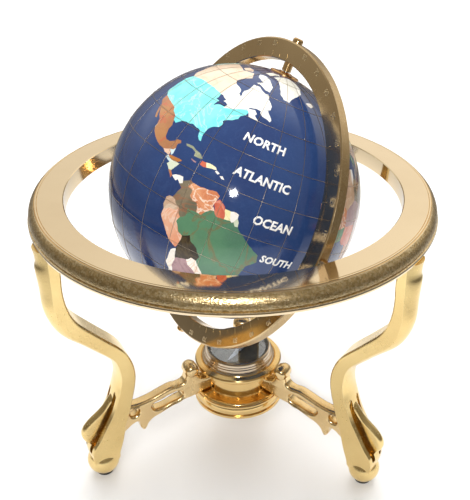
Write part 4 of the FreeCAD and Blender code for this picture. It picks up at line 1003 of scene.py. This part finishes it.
def letters(text, size, spread, radius, name, finish, body, slant=0.0, weight=THIN_STROKE):
    """Raised letters on the ball or a flat face; spread(x, y) gives a point's base and its way out."""
    curve = bpy.data.curves.new(name + "_outline", "FONT")
    curve.body = text
    curve.size = size
    curve.align_x = "CENTER"
    curve.align_y = "CENTER"
    curve.offset = size * weight
    curve.resolution_u = 2
    curve.shear = slant
    curve.fill_mode = "BOTH"
    mesh = curve_mesh(curve)
    shape = bmesh.new()
    shape.from_mesh(mesh)
    bmesh.ops.remove_doubles(shape, verts=shape.verts, dist=size * 1e-4)
    long_edges = [e for e in shape.edges if e.calc_length() > size * 0.25]
    bmesh.ops.subdivide_edges(shape, edges=long_edges, cuts=2)
    bmesh.ops.triangulate(shape, faces=shape.faces)
    made = bmesh.ops.extrude_face_region(shape, geom=shape.faces[:])
    for v in made["geom"]:
        if isinstance(v, bmesh.types.BMVert):
            v.co.z += LETTER_THICK
    bmesh.ops.recalc_face_normals(shape, faces=shape.faces)
    for v in shape.verts:
        spot, out = spread(v.co.x, v.co.y)
        v.co = spot + out * (radius - LETTER_SUNK + v.co.z)
    bmesh.ops.recalc_face_normals(shape, faces=shape.faces)
    shape.to_mesh(mesh)
    shape.free()
    return new_piece(name, mesh, finish, body)


LETTER_WHITE = stone("white_letter_enamel", (0.86, 0.86, 0.85), (0.80, 0.80, 0.79), (0.7, 0.7, 0.7),
                     rough=0.3, strength=0.15)


def on_map(lon, lat):
    """Lays flat letter points on the ball round a place, with the word running east."""
    def spread(x, y):
        turned = lon + math.degrees(x / BALL_RADIUS) / math.cos(math.radians(lat))
        out = (map_point(turned, lat + math.degrees(y / BALL_RADIUS)) - BALL).normalized()
        return BALL, out
    return spread


LARGE, SMALL = 6.5 * MM, 5.8 * MM
WORDS = (("NORTH", -52.0, 36.6, LARGE), ("ATLANTIC", -47.6, 22.4, LARGE), ("OCEAN", -37.4, 7.3, LARGE),
         ("SOUTH", -29.4, -7.2, SMALL), ("PACIFIC", -150.0, 30.0, LARGE), ("OCEAN", -150.0, 18.0, LARGE),
         ("INDIAN", 78.0, -18.0, LARGE), ("OCEAN", 80.0, -29.0, LARGE))
for i, (word, lon, lat, size) in enumerate(WORDS):
    letters(word, size, on_map(lon, lat), STONE_TOP, "sea_word_%d" % i, LETTER_WHITE, "globe",
            slant=0.12, weight=BOLD_STROKE)

# ------------------------------------------------------------------ struts
# Outlines in millimetres: outwards from the drum, and up. Each casting is rounded, with a slot and an eye.
BRANCH = [
    (19.0, 52.0), (21.5, 47.6), (26.5, 46.2), (32.0, 44.4), (39.0, 43.2), (46.0, 42.2), (53.0, 40.0),
    (60.0, 37.4), (66.0, 35.4), (69.4, 32.6), (71.2, 29.2), (73.0, 27.6), (75.0, 29.4), (75.6, 33.0),
    (77.0, 36.2), (80.0, 35.8), (84.6, 32.8), (88.0, 31.0), (90.0, 36.0), (89.0, 46.0), (83.0, 51.4),
    (75.0, 51.6), (67.0, 52.8), (59.0, 55.2), (51.5, 57.0), (45.5, 56.8), (42.0, 58.4), (40.6, 62.0),
    (39.8, 66.0), (36.4, 68.6), (33.0, 67.2), (32.0, 63.4), (31.2, 59.6), (27.5, 57.2), (21.5, 56.6),
]
SLOT = [
    (66.0, 46.6), (59.0, 49.4), (51.0, 51.6), (45.8, 51.4), (43.8, 48.6), (45.6, 45.8), (52.6, 44.0),
    (60.0, 42.2), (65.4, 43.4),
]
EYE = [(75.6, 46.6), (79.6, 47.4), (82.0, 43.8), (78.0, 42.2)]
STRUT_WIDTH = 9.0
STRUT_ROUND = 2.3
KNOB_CENTRE = (36.2, 65.4)
KNOB_PROFILE = [            # reach from the knob's own axis, place along it
    (0.0, -6.2), (2.4, -6.1), (4.0, -5.2), (4.9, -3.4), (5.1, 0.0), (4.9, 3.4), (4.0, 5.2), (2.4, 6.1),
    (0.0, 6.2),
]


def rounded_casting(name, outlines, width, soft):
    """A flat outline with holes, thickened and rounded on every edge, standing in the plane of X and Z."""
    curve = bpy.data.curves.new(name + "_outline", "CURVE")
    curve.dimensions = "2D"
    curve.fill_mode = "BOTH"
    curve.resolution_u = 5
    curve.bevel_depth = soft * MM
    curve.bevel_resolution = 4
    curve.extrude = (width / 2 - soft) * MM
    curve.offset = -soft * MM
    for outline in outlines:
        spline = curve.splines.new("BEZIER")
        spline.bezier_points.add(len(outline) - 1)
        for point, (x, z) in zip(spline.bezier_points, outline):
            point.co = (x * MM, z * MM, 0)
            point.handle_left_type = point.handle_right_type = "AUTO"
        spline.use_cyclic_u = True
    mesh = curve_mesh(curve)
    mesh.transform(Matrix.Rotation(math.pi / 2, 4, "X"))
    shape = bmesh.new()
    shape.from_mesh(mesh)
    bmesh.ops.remove_doubles(shape, verts=shape.verts, dist=2e-6)
    shape.to_mesh(mesh)
    shape.free()
    mesh.name = name
    return mesh


def add_knob(mesh):
    """The curled end: a fat rounded roll across the casting."""
    shape = bmesh.new()
    shape.from_mesh(mesh)
    turns = 28
    x, z = KNOB_CENTRE
    rings = []
    for reach, along in KNOB_PROFILE:
        if reach == 0.0:
            rings.append([shape.verts.new((x * MM, along * MM, z * MM))])
            continue
        rings.append([shape.verts.new(((x + reach * math.cos(2 * math.pi * i / turns)) * MM, along * MM,
                                       (z + reach * math.sin(2 * math.pi * i / turns)) * MM))
                      for i in range(turns)])
    for a, b in zip(rings, rings[1:]):
        for i in range(turns):
            k = (i + 1) % turns
            if len(a) == 1:
                shape.faces.new((a[0], b[i], b[k]))
            elif len(b) == 1:
                shape.faces.new((a[i], b[0], a[k]))
            else:
                shape.faces.new((a[i], b[i], b[k], a[k]))
    bmesh.ops.recalc_face_normals(shape, faces=shape.faces)
    shape.to_mesh(mesh)
    shape.free()
    mesh.shade_smooth()


for side, turn in (("right", 60.0), ("left", -60.0), ("back", 180.0)):
    casting = rounded_casting("strut_casting_" + side, (BRANCH, SLOT, EYE), STRUT_WIDTH, STRUT_ROUND)
    add_knob(casting)
    casting.transform(Matrix.Rotation(math.radians(turn - 90.0), 4, "Z"))
    piece = new_piece("strut_casting_" + side, casting, STRUT_GOLD, "stand")
    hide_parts("strut_" + side)

# ------------------------------------------------------------------ marks on the swinging ring
MARK = metal("ring_mark_gold", (0.80, 0.64, 0.38), (0.66, 0.50, 0.28), 0.22, 0.34, cloud=150.0)


def on_ring(turn, reach, face):
    """Lays flat letter points on a side face of the swinging ring, reading outwards from its centre."""
    out = SIDE * face
    up = POLE * math.cos(turn) + PIVOT * math.sin(turn)
    right = up.cross(out)
    base = BALL + up * reach

    def spread(x, y):
        return base + right * x + up * y, out
    return spread


TICK_START = RING_INNER + 0.8 * MM
TICK_SUNK, TICK_PROUD = 0.02 * MM, 0.04 * MM
LONG_TICK, SHORT_TICK = (3.0 * MM, 0.18 * MM), (1.7 * MM, 0.13 * MM)      # length, half width
NUMBER_SIZE = 4.2 * MM
NUMBER_REACH = RING_INNER + 7.8 * MM


def ticks():
    """A mark every five degrees on both side faces, longer at the tens."""
    verts, faces = [], []
    for face in (1, -1):
        out = SIDE * face
        for i in range(0, 360, 5):
            turn = math.radians(i)
            up = POLE * math.cos(turn) + PIVOT * math.sin(turn)
            side = up.cross(out)
            length, wide = LONG_TICK if i % 10 == 0 else SHORT_TICK
            base = len(verts)
            for lift in (RING_HALF - TICK_SUNK, RING_HALF + TICK_PROUD):
                for reach, across in ((TICK_START, -wide), (TICK_START, wide),
                                      (TICK_START + length, wide), (TICK_START + length, -wide)):
                    verts.append(tuple(BALL + up * reach + side * across + out * lift))
            order = [(0, 3, 2, 1), (4, 5, 6, 7)]
            order += [(k, (k + 1) % 4, 4 + (k + 1) % 4, 4 + k) for k in range(4)]
            for ring in order:
                faces.append(tuple(base + k for k in (ring if face < 0 else reversed(ring))))
    mesh = bpy.data.meshes.new("ring_ticks")
    mesh.from_pydata(verts, [], faces)
    mesh.validate()
    shape = bmesh.new()
    shape.from_mesh(mesh)
    bmesh.ops.recalc_face_normals(shape, faces=shape.faces)
    shape.to_mesh(mesh)
    shape.free()
    return mesh


new_piece("ring_ticks", ticks(), MARK, "meridian")
for face in (1, -1):
    for degrees in range(0, 360, 10):
        latitude = abs(90 - degrees) if degrees <= 180 else abs(270 - degrees)
        if latitude in (0, 90):
            continue
        letters(str(latitude), NUMBER_SIZE, on_ring(math.radians(degrees), NUMBER_REACH, face), RING_HALF,
                "ring_number_%s_%d" % ("front" if face > 0 else "back", degrees), MARK, "meridian")

# ------------------------------------------------------------------ stage, lights and camera
def stage_material():
    """A pale floor; in reflections only, its colour is painted darker away from the piece, a painted shade
    that stands in for the dim room.
    """
    made, tree, shader = new_material("pale_studio_floor")
    base = place(tree, CLOUD, Tone_A=(0.86, 0.87, 0.885), Tone_B=(0.84, 0.85, 0.87), Scale=3.0)
    spot = node(tree, "ShaderNodeTexCoord")
    length = node(tree, "ShaderNodeVectorMath", {0: spot.outputs["Object"]}, operation="LENGTH")
    reach = length.outputs["Value"]
    # painted shade: the floor as the metal mirrors it darkens with distance from the piece
    painted_reflection_shade = ramp(tree, maths(tree, "DIVIDE", reach, 2.0),
                [(0.0, 1.0), (0.15, 0.95), (0.23, 0.42), (0.4, 0.2)])
    mirrored = blend(tree, 1.0, base.outputs["Colour"], painted_reflection_shade, "MULTIPLY")
    path = node(tree, "ShaderNodeLightPath")
    shown = blend(tree, path.outputs["Is Glossy Ray"], base.outputs["Colour"], mirrored)
    tree.links.new(shown, shader.inputs["Base Color"])
    set_plain(shader, Roughness=0.6)
    return made


FLOOR_RADIUS = 5.0
FLOOR_DROP = -0.2 * MM      # just clear of the foot pads


def round_floor():
    """One wide disc."""
    corners = 96
    turns = [2 * math.pi * i / corners for i in range(corners)]
    verts = [(FLOOR_RADIUS * math.cos(turn), FLOOR_RADIUS * math.sin(turn), FLOOR_DROP) for turn in turns]
    mesh = bpy.data.meshes.new("studio_floor")
    mesh.from_pydata(verts, [], [tuple(range(corners))])
    return mesh


floor = new_piece("studio_floor", round_floor(), stage_material())


def lamp(name, where, aim, size, power, mirrored=True):
    """A square soft light; mirrored says whether the metal may show its reflection."""
    light = bpy.data.lights.new(name, "AREA")
    light.shape = "SQUARE"
    light.size = size
    light.energy = power
    holder = bpy.data.objects.new(name, light)
    holder.location = where
    holder.visible_glossy = mirrored
    holder.rotation_euler = (Vector(aim) - Vector(where)).to_track_quat("-Z", "Y").to_euler()
    bpy.context.scene.collection.objects.link(holder)


lamp("overhead_softbox", (0.0, 0.35, 1.3), (0, 0.1, 0.0), 1.2, 17.0, mirrored=False)
lamp("front_softbox", (-0.2, -1.2, 1.2), (0, 0, 0.12), 0.5, 9.0, mirrored=False)
lamp("front_flash", (0.028, -0.60, 0.50), (0, 0, 0.17), 0.045, 1.6)
lamp("back_floor_light", (0.0, 1.8, 1.2), (0, 1.6, 0.0), 1.4, 16.0, mirrored=False)

# The room round the table: dim low down and in front, bright above and behind. Seen directly it is pale.
world = bpy.data.worlds.new("studio_air")
bpy.context.scene.world = world
world.use_nodes = True
air = world.node_tree
where = node(air, "ShaderNodeTexCoord")
split = node(air, "ShaderNodeSeparateXYZ", {0: where.outputs["Generated"]})
screen = ramp(air, split.outputs[2], [(0.0, 0.10), (0.2, 0.25), (0.36, 0.9), (0.8, 1.0)])
behind = ramp(air, maths(air, "ADD", maths(air, "MULTIPLY", split.outputs[1], 0.5), 0.5),
              [(0.0, 0.06), (0.55, 0.15), (0.8, 0.95), (1.0, 1.0)])
sideways = ramp(air, maths(air, "ADD", maths(air, "MULTIPLY", split.outputs[0], 0.5), 0.5),
                [(0.2, 0.72), (0.7, 1.0)])
glow = blend(air, 1.0, blend(air, 1.0, screen, behind, "MULTIPLY"), sideways, "MULTIPLY")
glow = blend(air, 1.0, glow, (0.19, 0.17, 0.14), "ADD")
tinted = blend(air, 1.0, glow, (1.0, 0.97, 0.91), "MULTIPLY")
seen = node(air, "ShaderNodeLightPath")
shown = blend(air, seen.outputs["Is Camera Ray"], tinted, (0.86, 0.88, 0.90))
air.links.new(shown, air.nodes["Background"].inputs["Color"])
air.nodes["Background"].inputs["Strength"].default_value = 1.0
bpy.context.scene.view_settings.view_transform = "Standard"

LENS_MM = 55.965
FRAME_SHIFT = (-0.10616, 0.17184)
CAMERA_PLACE = (0.03441, -0.42868, 0.39757)
CAMERA_TILT = math.radians(53.6488)      # up from looking straight down
CAMERA_ROLL = math.radians(1.8929)
camera_data = bpy.data.cameras.new("camera")
camera_data.lens = LENS_MM
camera_data.sensor_width = 36.0
camera_data.sensor_fit = "AUTO"
camera_data.shift_x, camera_data.shift_y = FRAME_SHIFT
camera_data.clip_start = 0.01
camera = bpy.data.objects.new("camera", camera_data)
bpy.context.scene.collection.objects.link(camera)
camera.matrix_world = (Matrix.Translation(CAMERA_PLACE) @ Matrix.Rotation(CAMERA_TILT, 4, "X")
                       @ Matrix.Rotation(CAMERA_ROLL, 4, "Z"))
bpy.context.scene.camera = camera
